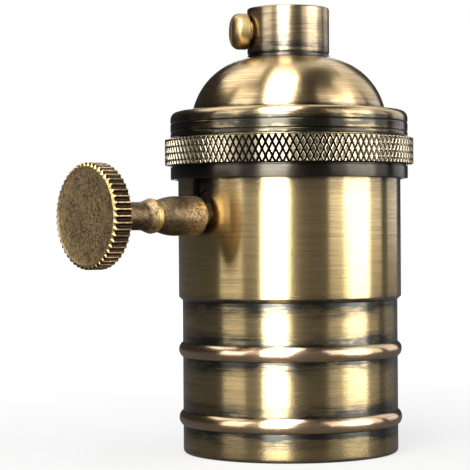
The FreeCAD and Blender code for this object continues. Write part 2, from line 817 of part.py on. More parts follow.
def terminal(post_length, tail):
    """A terminal: a plate with a lug bent up, and any tail, on a post bored for the screw."""
    x, y = terminal_place
    plate_bottom = cover_top + seat_gap
    edge = y + terminal_half_width
    lug_top = plate_bottom + terminal_lug_height
    path = [(y - terminal_half_width, plate_bottom), (edge, plate_bottom), (edge, lug_top)]
    plate = rot(strip(path, terminal_sheet, 2 * terminal_half_width, terminal_bend), Z_AXIS, 90)
    post = rod(terminal_post_r, cover_top - post_length, plate_bottom + terminal_sheet, x, y)
    bore_bottom = plate_bottom + terminal_sheet - terminal_screw_length - fit_gap
    bore = rod(screw_r + seat_gap, bore_bottom, neck_top, x, y)
    return moved(plate, x=x).fuse([post, *tail]).removeSplitter().cut(bore)


def line_terminal():
    """The line terminal, whose post clamps the line spring's foot."""
    return terminal(line_post_length, [])


def neutral_terminal():
    """The neutral terminal, whose plate runs on under the nut of the socket screw beside it."""
    plate_bottom = cover_top + seat_gap
    x, y = screw_place
    half = nut_flats / 2
    tail = block(x - half, terminal_place[0], y - half, y + half, plate_bottom, plate_bottom + terminal_sheet)
    plate = terminal(neutral_post_length, [tail]).cut(rod(screw_r + seat_gap, 0, neck_top, x, y))
    return plate.mirror(CENTRE, Y_AXIS)


def terminal_screws():
    """The two terminals' screws, down on their plates."""
    screw = slotted_screw(
        terminal_head_r, terminal_head_height, screw_head_round, screw_r, terminal_screw_length, screw_slot
    )
    return both_sides(terminal_place, moved(screw, z=cover_top + terminal_sheet + 2 * seat_gap))


def socket_screws():
    """The two long screws, from heads inside the screw shell up to nuts on the cover."""
    head_seat = disc_bottom - seat_gap
    tip = cover_top + terminal_sheet + 3 * seat_gap + nut_height + screw_end
    screw = slotted_screw(
        screw_head_r, screw_head_height, screw_head_round, screw_r, tip - head_seat, screw_slot
    )
    return both_sides(screw_place, moved(rot(screw, X_AXIS, 180), z=head_seat))


def socket_nuts():
    """The socket screws' nuts: one on the cover, and one on the neutral terminal's plate."""
    nut = moved(hex_nut(nut_flats, nut_height, screw_r + seat_gap), z=cover_top + seat_gap)
    return both_sides(screw_place, nut, moved(nut, z=terminal_sheet + seat_gap))


def porcelain_base():
    """The porcelain socket: a thick floor with a boss, a skirt, and a cone that sits on the shell's step."""
    slope = step_rise / step_out

    def seat(radius):
        return step_top + step_shift + fit_gap - (shell_inner_r - radius) * slope

    base = turned([
        (0, floor_top),
        (flange_r, floor_top, skirt_edge_r),
        (flange_r, seat(flange_r)),
        (skirt_outer_r, seat(skirt_outer_r)),
        (skirt_outer_r, skirt_bottom, skirt_edge_r),
        (skirt_inner_r, skirt_bottom, skirt_edge_r),
        (skirt_inner_r, floor_bottom),
        (boss_r, floor_bottom),
        (boss_r, boss_bottom, boss_height / 4),
        (0, boss_bottom),
    ])
    base = base.cut(screw_holes(0, neck_top))
    return base.cut(rod(rivet_r + seat_gap, 0, neck_top, terminal_place[0]))


def thread_waves(wall):
    """Points of the screw shell's waves, a cosine up the thread, on the face that lies out by a wall."""
    items = []
    for step in range(thread_turns * thread_steps + 1):
        turn = step / thread_steps
        dip = thread_depth * (1 - math.cos(2 * math.pi * turn)) / 2
        items.append((thread_major_r - dip + wall, thread_bottom + turn * thread_pitch))
    return items


def screw_shell():
    """The screw shell: a plain mouth, rolled waves for the lamp's thread, and a disc with an eye on top."""
    outer_mouth_r = mouth_r + screw_shell_wall
    outer_r = thread_major_r + screw_shell_wall
    shell = turned([
        (mouth_r, mouth_bottom),
        (mouth_r, mouth_top),
        *thread_waves(0),
        (thread_major_r, disc_bottom),
        (eye_r, disc_bottom),
        (eye_r, disc_top),
        (outer_r, disc_top, screw_shell_wall),
        *thread_waves(screw_shell_wall)[::-1],
        (outer_mouth_r, mouth_top),
        (outer_mouth_r, mouth_bottom),
    ])
    return shell.cut(screw_holes(disc_bottom, disc_top))


def centre_contact():
    """The centre contact: a leaf flat on the boss, folded back into a sprung tongue with a turned-up tip."""
    level = boss_bottom - seat_gap - contact_sheet
    path = [
        (tongue_tip + tongue_upturn, level - tongue_drop + tongue_upturn),
        (tongue_tip, level - tongue_drop),
        (-tongue_half_length, level),
        (tongue_half_length, level),
    ]
    leaf = strip(path, contact_sheet, tongue_width, contact_bend)
    return leaf.cut(rod(rivet_r + seat_gap, level - seat_gap, level + 1, terminal_place[0]))


def centre_rivet():
    """The rivet that joins the centre contact to the load spring through porcelain and moulding."""
    lower = boss_bottom - contact_sheet - 2 * seat_gap
    upper = cavity_floor + contact_sheet + seat_gap
    rivet = turned([
        (0, lower - rivet_head_height),
        (rivet_head_r, lower - rivet_head_height, rivet_head_height / 2),
        (rivet_head_r, lower),
        (rivet_r, lower),
        (rivet_r, upper),
        (rivet_head_r, upper),
        (rivet_head_r, upper + rivet_head_height, rivet_head_height / 2),
        (0, upper + rivet_head_height),
    ])
    return moved(rivet, x=terminal_place[0])


def export(name, shape):
    """Writes one piece with the origin moved to the centre of the neck's mouth."""
    moved(shape, z=-neck_top).exportStep(f"parts/{name}.step")


def main():
    """Builds and writes every piece."""
    os.makedirs("parts", exist_ok=True)
    for build in (
        cap_dome, cap_ferrule, neck_bush, neck_lock_screw, earth_tab, earth_screw, knurled_ring,
        outer_shell, porcelain_base, screw_shell, centre_contact, centre_rivet, socket_screws, socket_nuts,
        switch_body, switch_cover, line_terminal, neutral_terminal, terminal_screws, line_contact_spring,
        load_contact_spring, shaft_bush, switch_knob, switch_shaft, switch_rotor, rotor_contact, shaft_clip,
    ):
        export(build.__name__, build())


main()
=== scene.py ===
"""Dresses the switched screw lamp holder in brushed, knurled and cast brass, porcelain and moulding.

Lengths are in metres, and heights are the frame's own: +Z runs up along the neck's bore, with the origin at
the centre of the neck's mouth. The knob's shaft points along -X, and the front is -Y.
"""

import logging
import math
from collections.abc import Callable, Iterable, Sequence
from dataclasses import dataclass, field
from enum import Enum

import bmesh
import bpy
from mathutils import Matrix, Vector


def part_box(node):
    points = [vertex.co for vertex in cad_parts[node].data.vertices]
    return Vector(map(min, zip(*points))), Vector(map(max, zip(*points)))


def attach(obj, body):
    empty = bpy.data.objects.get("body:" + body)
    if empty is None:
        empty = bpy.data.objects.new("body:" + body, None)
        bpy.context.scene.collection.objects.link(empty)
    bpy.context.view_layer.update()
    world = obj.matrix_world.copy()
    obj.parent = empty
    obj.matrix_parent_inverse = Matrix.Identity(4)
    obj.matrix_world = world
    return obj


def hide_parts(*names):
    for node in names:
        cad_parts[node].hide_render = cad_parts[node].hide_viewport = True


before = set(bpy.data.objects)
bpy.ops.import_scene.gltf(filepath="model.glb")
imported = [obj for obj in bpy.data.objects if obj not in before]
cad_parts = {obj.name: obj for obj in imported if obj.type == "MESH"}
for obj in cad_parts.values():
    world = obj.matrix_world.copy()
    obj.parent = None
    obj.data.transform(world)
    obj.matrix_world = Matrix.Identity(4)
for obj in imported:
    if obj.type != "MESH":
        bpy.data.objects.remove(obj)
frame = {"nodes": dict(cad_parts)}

log = logging.getLogger("lamp_holder")

MM = 0.001
FULL_TURN = 2 * math.pi
WELD = 1e-6  # points nearer than this are one point

Colour = tuple[float, float, float]
Point = tuple[float, float]
Item = tuple[float | str, ...]
Axes = tuple[float, float, float]
Socket = bpy.types.NodeSocket


class Body(Enum):
    """The moving bodies of the frame that the new pieces ride on."""

    CAP = "cap"
    RING = "ring"
    SHELL = "shell"
    KNOB = "knob"
    LOCK_SCREW = "lock_screw"


class Slot(Enum):
    """The names of the record's material slots; the new pieces don't use them."""

    ANTIQUE = "antique_brass"
    DARK = "dark_brass"
    POLISHED = "polished_brass"
    BARE = "bare_brass"


# ---------------------------------------------------------------------------
# Outlines and meshes
# ---------------------------------------------------------------------------


def turned(centre: Vector, arm: Vector, angle: float) -> Point:
    """The end of an arm from a centre, turned by an angle.

    Args:
        centre: The centre that it turns about.
        arm: The arm before it turns.
        angle: The turn, in radians.

    Returns:
        The end's (radius, height).
    """
    end = centre + Matrix.Rotation(angle, 2) @ arm
    return end.x, end.y


def corner_points(before: Vector, point: Vector, after: Vector, radius: float, segments: int) -> list[Point]:
    """Points along the rounding of one corner of an outline.

    Args:
        before: The point before the corner.
        point: The corner.
        after: The point after the corner.
        radius: The rounding's radius, in metres.
        segments: How many straight pieces stand for the rounding.

    Returns:
        The rounding's points, as (radius, height) pairs.
    """
    to_before = (before - point).normalized()
    to_after = (after - point).normalized()
    half = to_before.angle(to_after) / 2
    centre = point + (to_before + to_after).normalized() * (radius / math.sin(half))
    first = point + to_before * (radius / math.tan(half)) - centre
    last = point + to_after * (radius / math.tan(half)) - centre
    sweep = math.atan2(first.cross(last), first.dot(last))
    return [turned(centre, first, sweep * i / segments) for i in range(segments + 1)]


def bow_points(start: Vector, middle: Vector, end: Vector, segments: int) -> list[Point]:
    """Points inside an arc through three points.

    Args:
        start: The arc's start, which isn't repeated.
        middle: A point near the arc's middle.
        end: The arc's end, which isn't repeated.
        segments: How many straight pieces stand for the arc.

    Returns:
        The points between the ends, as (radius, height) pairs.
    """
    chord = end - start
    normal = Vector((-chord.y, chord.x)).normalized()
    rise = (middle - start).dot(normal)
    radius = ((chord.length / 2) ** 2 + rise**2) / (2 * rise)
    centre = (start + end) / 2 + normal * (rise - radius)
    first, last = start - centre, end - centre
    sweep = math.atan2(first.cross(last), first.dot(last))
    return [turned(centre, first, sweep * i / segments) for i in range(1, segments)]


def outline(items: Sequence[Item], segments: int = 5, bow_segments: int = 16) -> list[Point]:
    """Traces a closed outline from corners, roundings and bows.

    Args:
        items: (radius, height) or (radius, height, rounding) for a corner, and ("bow", radius, height)
            for a point on the arc between two corners.
        segments: Straight pieces in each rounding.
        bow_segments: Straight pieces in each bow.

    Returns:
        The outline's points, as (radius, height) pairs.
    """
    corners, bows = [], {}
    for item in items:
        if item[0] == "bow":
            bows[len(corners) - 1] = Vector(item[1:3])
        else:
            corners.append(item)
    points: list[Point] = []
    places = [Vector(corner[:2]) for corner in corners]
    for i, corner in enumerate(corners):
        following = places[(i + 1) % len(places)]
        if len(corner) > 2 and corner[2] > 0:
            points += corner_points(places[i - 1], places[i], following, corner[2], segments)
        else:
            points.append(tuple(places[i]))
        if i in bows:
            points += bow_points(places[i], bows[i], following, bow_segments)
    return points


def lathe(points: Sequence[Point], steps: int) -> bmesh.types.BMesh:
    """Spins an outline about the Z axis; one that reaches the axis at both ends is left open there.

    Args:
        points: The outline, as (radius, height) pairs.
        steps: Faces round the axis.

    Returns:
        A closed mesh with its normals outward.
    """
    mesh = bmesh.new()
    verts = [mesh.verts.new((radius, 0.0, height)) for radius, height in points]
    pairs = [(verts[i - 1], vert) for i, vert in enumerate(verts)]
    edges = [mesh.edges.new(pair) for pair in pairs if max(vert.co.x for vert in pair) > WELD]
    bmesh.ops.spin(
        mesh,
        geom=verts + edges,
        cent=(0.0, 0.0, 0.0),
        axis=(0.0, 0.0, 1.0),
        dvec=(0.0, 0.0, 0.0),
        angle=FULL_TURN,
        steps=steps,
        use_merge=True,
        use_normal_flip=False,
        use_duplicate=False,
    )
    bmesh.ops.remove_doubles(mesh, verts=mesh.verts, dist=WELD)
    bmesh.ops.recalc_face_normals(mesh, faces=mesh.faces)
    return mesh


def loft(radius_at: Callable[[float], float], count: int, rings: Sequence[Point]) -> bmesh.types.BMesh:
    """Stacks closed rings along the Z axis and closes both ends.

    Args:
        radius_at: The outer radius at an angle; each ring blends from a circle to it.
        count: Points round each ring.
        rings: (share of the outer outline, or minus a circle's radius, and height) for each ring, upwards.

    Returns:
        A closed mesh with its normals outward.
    """
    mesh = bmesh.new()
    bmesh.ops.create_circle(mesh, segments=count, radius=1.0, cap_ends=True)
    edges = mesh.edges[:]
    for i, (share, height) in enumerate(rings):
        if i:
            made = bmesh.ops.extrude_edge_only(mesh, edges=edges)["geom"]
            edges = [g for g in made if isinstance(g, bmesh.types.BMEdge)]
        for vert in {v for e in edges for v in e.verts}:
            angle = math.atan2(vert.co.y, vert.co.x)
            radius = -share if share < 0 else radius_at(angle) * share
            vert.co = (radius * math.cos(angle), radius * math.sin(angle), height)
    bmesh.ops.contextual_create(mesh, geom=edges)
    bmesh.ops.recalc_face_normals(mesh, faces=mesh.faces)
    return mesh


def joined(*parts: bmesh.types.BMesh) -> bmesh.types.BMesh:
    """Gathers several meshes into the first one.

    Args:
        *parts: The meshes; all but the first are freed.

    Returns:
        The first mesh, with the others' faces added.
    """
    whole = parts[0]
    for part in parts[1:]:
        scrap = bpy.data.meshes.new("scrap")
        part.to_mesh(scrap)
        part.free()
        whole.from_mesh(scrap)
        bpy.data.meshes.remove(scrap)
    return whole


def carved(mesh: bmesh.types.BMesh, cutters: Iterable[bmesh.types.BMesh]) -> bmesh.types.BMesh:
    """Cuts closed shapes out of a closed mesh.

    Args:
        mesh: The mesh to cut, which is freed.
        cutters: The shapes to take away, which are freed.

    Returns:
        The mesh with the cuts made.
    """
    stock = bpy.data.objects.new("stock", bpy.data.meshes.new("stock"))
    mesh.to_mesh(stock.data)
    mesh.free()
    bpy.context.scene.collection.objects.link(stock)
    tools = []
    for cutter in cutters:
        tool = bpy.data.objects.new("tool", bpy.data.meshes.new("tool"))
        cutter.to_mesh(tool.data)
        cutter.free()
        bpy.context.scene.collection.objects.link(tool)
        cut = stock.modifiers.new("cut", "BOOLEAN")
        cut.operation = "DIFFERENCE"
        cut.solver = "EXACT"
        cut.object = tool
        tools.append(tool)
    evaluated = stock.evaluated_get(bpy.context.evaluated_depsgraph_get())
    result = bmesh.new()
    result.from_mesh(evaluated.to_mesh())
    for scrap in (stock, *tools):
        data = scrap.data
        bpy.data.objects.remove(scrap)
        bpy.data.meshes.remove(data)
    return result


def prism(size: Vector, centre: Vector) -> bmesh.types.BMesh:
    """A box, for use as a cutter.

    Args:
        size: Its three sides.
        centre: Its centre.

    Returns:
        The box.
    """
    mesh = bmesh.new()
    place = Matrix.Translation(centre) @ Matrix.Diagonal((*size, 1.0))
    bmesh.ops.create_cube(mesh, size=1.0, matrix=place)
    return mesh


def rod(radius: float, length: float, matrix: Matrix) -> bmesh.types.BMesh:
    """A cylinder about the Z axis from z = 0, for use as a cutter.

    Args:
        radius: Its radius.
        length: Its length.
        matrix: Where it goes.

    Returns:
        The cylinder.
    """
    mesh = bmesh.new()
    bmesh.ops.create_cone(
        mesh,
        cap_ends=True,
        segments=64,
        radius1=radius,
        radius2=radius,
        depth=length,
        matrix=matrix @ Matrix.Translation((0.0, 0.0, length / 2)),
    )
    return mesh


def piece(
    mesh: bmesh.types.BMesh,
    name: str,
    body: Body,
    material: bpy.types.Material,
    replaced: Sequence[str],
    crease: float = 30.0,
) -> bpy.types.Object:
    """Makes one shown piece from a finished mesh.

    Args:
        mesh: The piece's mesh, in place, which is freed.
        name: The piece's name.
        body: The body that it rides on.
        material: Its finish.
        replaced: The solid nodes that it stands for.
        crease: Edges that turn more than this many degrees stay sharp.

    Returns:
        The piece's object.
    """
    data = bpy.data.meshes.new(name)
    mesh.to_mesh(data)
    mesh.free()
    data.shade_smooth()
    data.set_sharp_from_angle(angle=math.radians(crease))
    data.materials.clear()
    data.materials.append(material)
    made = bpy.data.objects.new(name, data)
    bpy.context.scene.collection.objects.link(made)
    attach(made, body.value)
    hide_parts(*replaced)
    log.info("%s: %d faces, replaces %s", name, len(data.polygons), ", ".join(replaced))
    return made


# ---------------------------------------------------------------------------
# Finishes
# ---------------------------------------------------------------------------


class Shader:
    """A material's node graph, with short calls for the nodes that the finishes use."""

    def __init__(self, name: str) -> None:
        """Starts a material with a Principled surface.

        Args:
            name: The material's name.
        """
        self.material = bpy.data.materials.new(name)
        self.material.use_nodes = True
        self.tree = self.material.node_tree
        self.surface = self.tree.nodes["Principled BSDF"]
        self.place = self.add("ShaderNodeTexCoord").outputs["Object"]

    def add(self, kind: str, inputs: dict | None = None, **settings: object) -> bpy.types.Node:
        """Adds a node.

        Args:
            kind: The node's type.
            inputs: Values or sockets for its inputs, by name or number.
            **settings: Its other properties.

        Returns:
            The node.
        """
        node = self.tree.nodes.new(kind)
        for key, value in settings.items():
            setattr(node, key, value)
        for key, value in (inputs or {}).items():
            self.feed(node.inputs[key], value)
        return node

    def feed(self, socket: Socket, value: object) -> None:
        """Links or sets one input.

        Args:
            socket: The input.
            value: A socket to link, or a value to set.
        """
        if isinstance(value, Socket):
            self.tree.links.new(value, socket)
        elif isinstance(value, tuple) and len(value) == 3 and socket.type == "RGBA":
            socket.default_value = (*value, 1.0)
        else:
            socket.default_value = value

    def maths(self, operation: str, *values: object, clamp: bool = False) -> Socket:
        """The result of one sum.

        Args:
            operation: The Math node's operation.
            *values: Its inputs.
            clamp: Keeps the result between 0 and 1.

        Returns:
            The result's socket.
        """
        node = self.add("ShaderNodeMath", dict(enumerate(values)), operation=operation, use_clamp=clamp)
        return node.outputs[0]

    def blend(self, share: object, first: object, second: object) -> Socket:
        """A colour between two colours.

        Args:
            share: How much of the second, from 0 to 1.
            first: The first colour.
            second: The second colour.

        Returns:
            The mixed colour's socket.
        """
        node = self.add("ShaderNodeMix", data_type="RGBA")
        self.feed(node.inputs[0], share)
        self.feed(node.inputs[6], first)
        self.feed(node.inputs[7], second)
        return node.outputs[2]

    def grain(self, scale: Axes, detail: float = 2.0, rough: float = 0.5) -> Socket:
        """Noise with its own scale along each axis.

        Args:
            scale: Cells to a metre along X, Y and Z.
            detail: How many finer layers it has.
            rough: How strong the finer layers are.

        Returns:
            The noise's value, about 0.5 on average.
        """
        stretched = self.add("ShaderNodeMapping", {"Vector": self.place, "Scale": scale})
        inputs = {"Vector": stretched.outputs[0], "Scale": 1.0, "Detail": detail, "Roughness": rough}
        return self.add("ShaderNodeTexNoise", inputs).outputs[0]

    def levels(
        self, value: object, low: float, high: float, bottom: float = 0.0, top: float = 1.0
    ) -> Socket:
        """Stretches a range of values to another and clamps it.

        Args:
            value: The value.
            low: The value that gives the bottom.
            high: The value that gives the top.
            bottom: The lowest result.
            top: The highest result.

        Returns:
            The result's socket.
        """
        node = self.add("ShaderNodeMapRange", {0: value, 1: low, 2: high, 3: bottom, 4: top})
        return node.outputs[0]

    def up(self) -> Socket:
        """The height of each point in the frame."""
        return self.add("ShaderNodeSeparateXYZ", {0: self.place}).outputs[2]

    def out(self) -> Socket:
        """The distance of each point from the lamp's axis."""
        flat = self.add("ShaderNodeVectorMath", {0: self.place, 1: (1.0, 1.0, 0.0)}, operation="MULTIPLY")
        return self.add("ShaderNodeVectorMath", {0: flat.outputs[0]}, operation="LENGTH").outputs["Value"]

    def shade_beside_slot(self, level: float, inner: float, outer: float, strength: float = 0.95) -> Socket:
        """Painted shade round an upright slot on the -X side, beside the knob's stem, which fades out over a
        distance.

        Args:
            level: The height of the slot's round end.
            inner: Where the shade starts to fade, from the slot's middle.
            outer: Where it ends.
            strength: How dark it is at its darkest.

        Returns:
            The painted shade's share at each point.
        """
        x, y, z = self.add("ShaderNodeSeparateXYZ", {0: self.place}).outputs
        below = self.maths("MINIMUM", self.maths("SUBTRACT", z, level), 0.0)
        flat = self.add("ShaderNodeCombineXYZ", {0: y, 1: below}).outputs[0]
        away = self.add("ShaderNodeVectorMath", {0: flat}, operation="LENGTH").outputs["Value"]
        # Painted shade: darkest beside the slot, fading out away from it.
        darkening = self.levels(away, inner, outer, strength, 0.0)
        return self.maths("MULTIPLY", darkening, self.levels(x, 0.0, -inner))

    def banded(self, height: object, stops: Sequence[Point]) -> Socket:
        """A share that follows the height through a list of stops.

        Args:
            height: The height's socket.
            stops: (height, share) pairs, upwards.

        Returns:
            The share's socket.
        """
        low, high = stops[0][0], stops[-1][0]
        along = self.levels(height, low, high)
        node = self.add("ShaderNodeValToRGB", {0: along})
        marks = node.color_ramp.elements
        for i, (level, share) in enumerate(stops):
            place = (level - low) / (high - low)
            mark = marks[i] if i < 2 else marks.new(place)
            mark.position = place
            mark.color = (share, share, share, 1.0)
        return node.outputs[0]

    def dent(self, height: object, strength: float, distance: float) -> None:
        """Gives the surface a relief.

        Args:
            height: The relief's height, from 0 to 1.
            strength: How strong it is.
            distance: How deep it is, in metres.
        """
        inputs = {"Height": height, "Strength": strength, "Distance": distance}
        self.feed(self.surface.inputs["Normal"], self.add("ShaderNodeBump", inputs).outputs[0])

    def finish(self, **inputs: object) -> bpy.types.Material:
        """Sets the surface's own inputs.

        Args:
            **inputs: Values or sockets by the input's name, with _ for a space.

        Returns:
            The material.
        """
        for key, value in inputs.items():
            self.feed(self.surface.inputs[key.replace("_", " ")], value)
        return self.material


@dataclass(frozen=True)
class BrushedBrass:
    """Antique brass brushed round the lamp's axis, with dark patina and painted shade by the steps and
    beads.

    The stops are (height, share) pairs, upwards, except depth_stops, which are (radius, share) pairs. The
    painted shade round the slot is given by the height of the slot's round end, and where the shade starts
    to fade and ends.
    """

    name: str
    clean: Colour = (0.70, 0.51, 0.23)
    worn: Colour = (0.90, 0.59, 0.40)
    patina: Colour = (0.033, 0.038, 0.040)
    roughness: float = 0.22
    direction: float = 0.85
    patina_and_shade_stops: tuple[Point, ...] = ((0.0, 0.1), (1.0, 0.1))
    worn_stops: tuple[Point, ...] = ((0.0, 0.0), (1.0, 0.0))
    depth_stops: tuple[Point, ...] = ((0.0, 0.0), (1.0, 0.0))
    slot_shade: tuple[float, float, float] | None = None
    streak: float = 0.3
    most_cover: float = 0.97
    lacquer: float = 0.5
    lacquer_roughness: float = 0.14

    def material(self) -> bpy.types.Material:
        """Builds the finish.

        Returns:
            The material.
        """
        shader = Shader(self.name)
        fine = shader.grain((110.0, 110.0, 6500.0), 3.0, 0.65)
        broad = shader.grain((60.0, 60.0, 2200.0), 2.0)
        clouds = shader.grain((150.0, 150.0, 520.0), 4.0, 0.65)
        specks = shader.grain((1300.0, 1300.0, 2600.0), 2.0)
        height = shader.up()
        # Patina, and painted shade in the creases that the stops mark.
        darkening = shader.banded(height, self.patina_and_shade_stops)
        ragged = shader.levels(clouds, 0.32, 0.68, 0.5, 1.45)
        streaks = shader.levels(fine, 0.35, 0.7, 0.0, self.streak)
        bands = shader.levels(broad, 0.35, 0.7, 0.0, self.streak * 0.5)
        cover = shader.maths("MULTIPLY_ADD", darkening, ragged, streaks, clamp=True)
        cover = shader.maths("ADD", cover, bands, clamp=True)
        # Darkening by distance from the axis: painted shade inside the shell, and patina with painted shade
        # in the knurling.
        cover = shader.maths("MAXIMUM", cover, shader.banded(shader.out(), self.depth_stops))
        # Painted shade round the slot, where the knob's stem shades the shell.
        if self.slot_shade:
            level, inner, outer = self.slot_shade
            cover = shader.maths("MAXIMUM", cover, shader.shade_beside_slot(level, inner, outer))
        spots = shader.levels(specks, 0.70, 0.78, 0.0, 0.5)
        cover = shader.maths("MAXIMUM", cover, spots)
        patchy = shader.levels(clouds, 0.2, 0.6)
        rubbed = shader.maths("MULTIPLY", shader.banded(height, self.worn_stops), patchy)
        metal = shader.blend(rubbed, self.clean, self.worn)
        # The patina colour also paints shade where the masks above mark creases, hollows and the slot's
        # surround.
        colour = shader.blend(shader.maths("MULTIPLY", cover, self.most_cover), metal, self.patina)
        rough = shader.maths("MULTIPLY_ADD", cover, 0.06, self.roughness)
        rough = shader.maths("ADD", rough, shader.levels(fine, 0.3, 0.7, -0.03, 0.03))
        shader.dent(fine, 0.08, 0.00002)
        tangent = shader.add("ShaderNodeTangent", direction_type="RADIAL", axis="Z")
        return shader.finish(
            Base_Color=colour,
            Metallic=1.0,
            Roughness=rough,
            Anisotropic=self.direction,
            Anisotropic_Rotation=0.25,
            Tangent=tangent.outputs[0],
            Coat_Weight=self.lacquer,
            Coat_Roughness=self.lacquer_roughness,
        )


@dataclass(frozen=True)
class CastBrass:
    """Dark antique brass of the cast knob: patina in pores, bright where fingers rub, painted light on its
    back.
    """

    name: str
    bright: Colour = (0.66, 0.46, 0.18)
    brown: Colour = (0.40, 0.285, 0.15)
    dark: Colour = (0.085, 0.06, 0.036)
    soot: Colour = (0.03, 0.018, 0.011)
    roughness: float = 0.38

    def material(self) -> bpy.types.Material:
        """Builds the finish.

        Returns:
            The material.
        """
        shader = Shader(self.name)
        pores = shader.grain((4200.0, 4200.0, 4200.0), 2.0, 0.6)
        mottle = shader.grain((1500.0, 1500.0, 1500.0), 3.0, 0.65)
        clouds = shader.grain((350.0, 350.0, 350.0), 2.0)
        # The attribute carries rubbing and darkening, and painted light on the disc's back.
        wear_and_light = shader.add("ShaderNodeAttribute", attribute_name="wear_and_light").outputs["Fac"]
        mix = shader.maths("MULTIPLY_ADD", pores, 0.55, shader.maths("MULTIPLY", mottle, 0.45))
        mix = shader.maths("MULTIPLY_ADD", clouds, 0.25, mix)
        base = shader.blend(shader.levels(mix, 0.50, 0.66), self.dark, self.brown)
        gold = shader.blend(shader.levels(mix, 0.64, 0.80, 0.0, 0.6), base, self.bright)
        rubbed = shader.levels(shader.maths("MULTIPLY_ADD", mix, 0.6, wear_and_light), 0.62, 1.0)
        colour = shader.blend(rubbed, gold, self.bright)
        colour = shader.blend(shader.levels(wear_and_light, 0.0, -0.5), colour, self.soot)
        rough = shader.maths("MULTIPLY_ADD", rubbed, -0.12, self.roughness + 0.06)
        shader.dent(shader.maths("ADD", pores, mottle), 0.35, 0.00012)
        return shader.finish(Base_Color=colour, Metallic=1.0, Roughness=rough)


@dataclass(frozen=True)
class PolishedBrass:
    """Turned brass, polished or left bare, with faint tool marks and fingerprints."""

    name: str
    colour: Colour = (0.83, 0.62, 0.30)
    tarnish: Colour = (0.42, 0.29, 0.13)
    roughness: float = 0.2
    stained: float = 0.45

    def material(self) -> bpy.types.Material:
        """Builds the finish.

        Returns:
            The material.
        """
        shader = Shader(self.name)
        clouds = shader.grain((260.0, 260.0, 260.0), 4.0, 0.6)
        marks = shader.grain((1500.0, 1500.0, 5000.0), 2.0)
        darkening = shader.levels(clouds, 0.42, 0.72, 0.0, self.stained)
        colour = shader.blend(darkening, self.colour, self.tarnish)
        rough = shader.maths("MULTIPLY_ADD", clouds, 0.14, self.roughness - 0.05)
        shader.dent(marks, 0.08, 0.00005)
        return shader.finish(Base_Color=colour, Metallic=1.0, Roughness=rough)


@dataclass(frozen=True)
class PlatedSteel:
    """Bright plated steel with a slight cloudiness."""

    name: str
    colour: Colour = (0.62, 0.61, 0.59)
    dull: Colour = (0.36, 0.34, 0.31)
    roughness: float = 0.28

    def material(self) -> bpy.types.Material:
        """Builds the finish.

        Returns:
            The material.
        """
        shader = Shader(self.name)
        clouds = shader.grain((400.0, 400.0, 400.0), 3.0)
        grit = shader.grain((3500.0, 3500.0, 3500.0), 1.0)
        colour = shader.blend(shader.levels(clouds, 0.4, 0.8, 0.0, 0.4), self.colour, self.dull)
        rough = shader.maths("MULTIPLY_ADD", clouds, 0.2, self.roughness - 0.08)
        shader.dent(grit, 0.06, 0.00004)
        return shader.finish(Base_Color=colour, Metallic=1.0, Roughness=rough)


@dataclass(frozen=True)
class Porcelain:
    """Glazed white porcelain with faint specks in the glaze."""

    name: str
    colour: Colour = (0.82, 0.80, 0.74)
    cream: Colour = (0.77, 0.74, 0.66)
    speck: Colour = (0.50, 0.44, 0.34)

    def material(self) -> bpy.types.Material:
        """Builds the finish.

        Returns:
            The material.
        """
        shader = Shader(self.name)
        clouds = shader.grain((90.0, 90.0, 90.0), 3.0)
        specks = shader.grain((1600.0, 1600.0, 1600.0), 1.0)
        body = shader.blend(shader.levels(clouds, 0.35, 0.7, 0.0, 0.5), self.colour, self.cream)
        colour = shader.blend(shader.levels(specks, 0.72, 0.78, 0.0, 0.6), body, self.speck)
        rough = shader.levels(clouds, 0.3, 0.7, 0.16, 0.30)
        shader.dent(clouds, 0.15, 0.0003)
        return shader.finish(Base_Color=colour, Metallic=0.0, Roughness=rough, IOR=1.52, Coat_Weight=0.4)


@dataclass(frozen=True)
class Moulding:
    """Matt moulding compound with a fine flow pattern, nearly black, and darker still as painted shade."""

    name: str
    # Painted shade: the colour sits below the compound's own black, so the slot reads as deep shade.
    colour: Colour = (0.004, 0.003, 0.0025)
    light: Colour = (0.012, 0.008, 0.006)

    def material(self) -> bpy.types.Material:
        """Builds the finish.

        Returns:
            The material.
        """
        shader = Shader(self.name)
        flow = shader.grain((300.0, 300.0, 900.0), 5.0, 0.65)
        grit = shader.grain((4000.0, 4000.0, 4000.0), 1.0)
        colour = shader.blend(shader.levels(flow, 0.4, 0.75), self.colour, self.light)
        rough = shader.levels(flow, 0.3, 0.7, 0.42, 0.62)
        shader.dent(grit, 0.15, 0.00006)
        return shader.finish(Base_Color=colour, Metallic=0.0, Roughness=rough, Specular_IOR_Level=0.06)


# ---------------------------------------------------------------------------
# Sub-assemblies
# ---------------------------------------------------------------------------


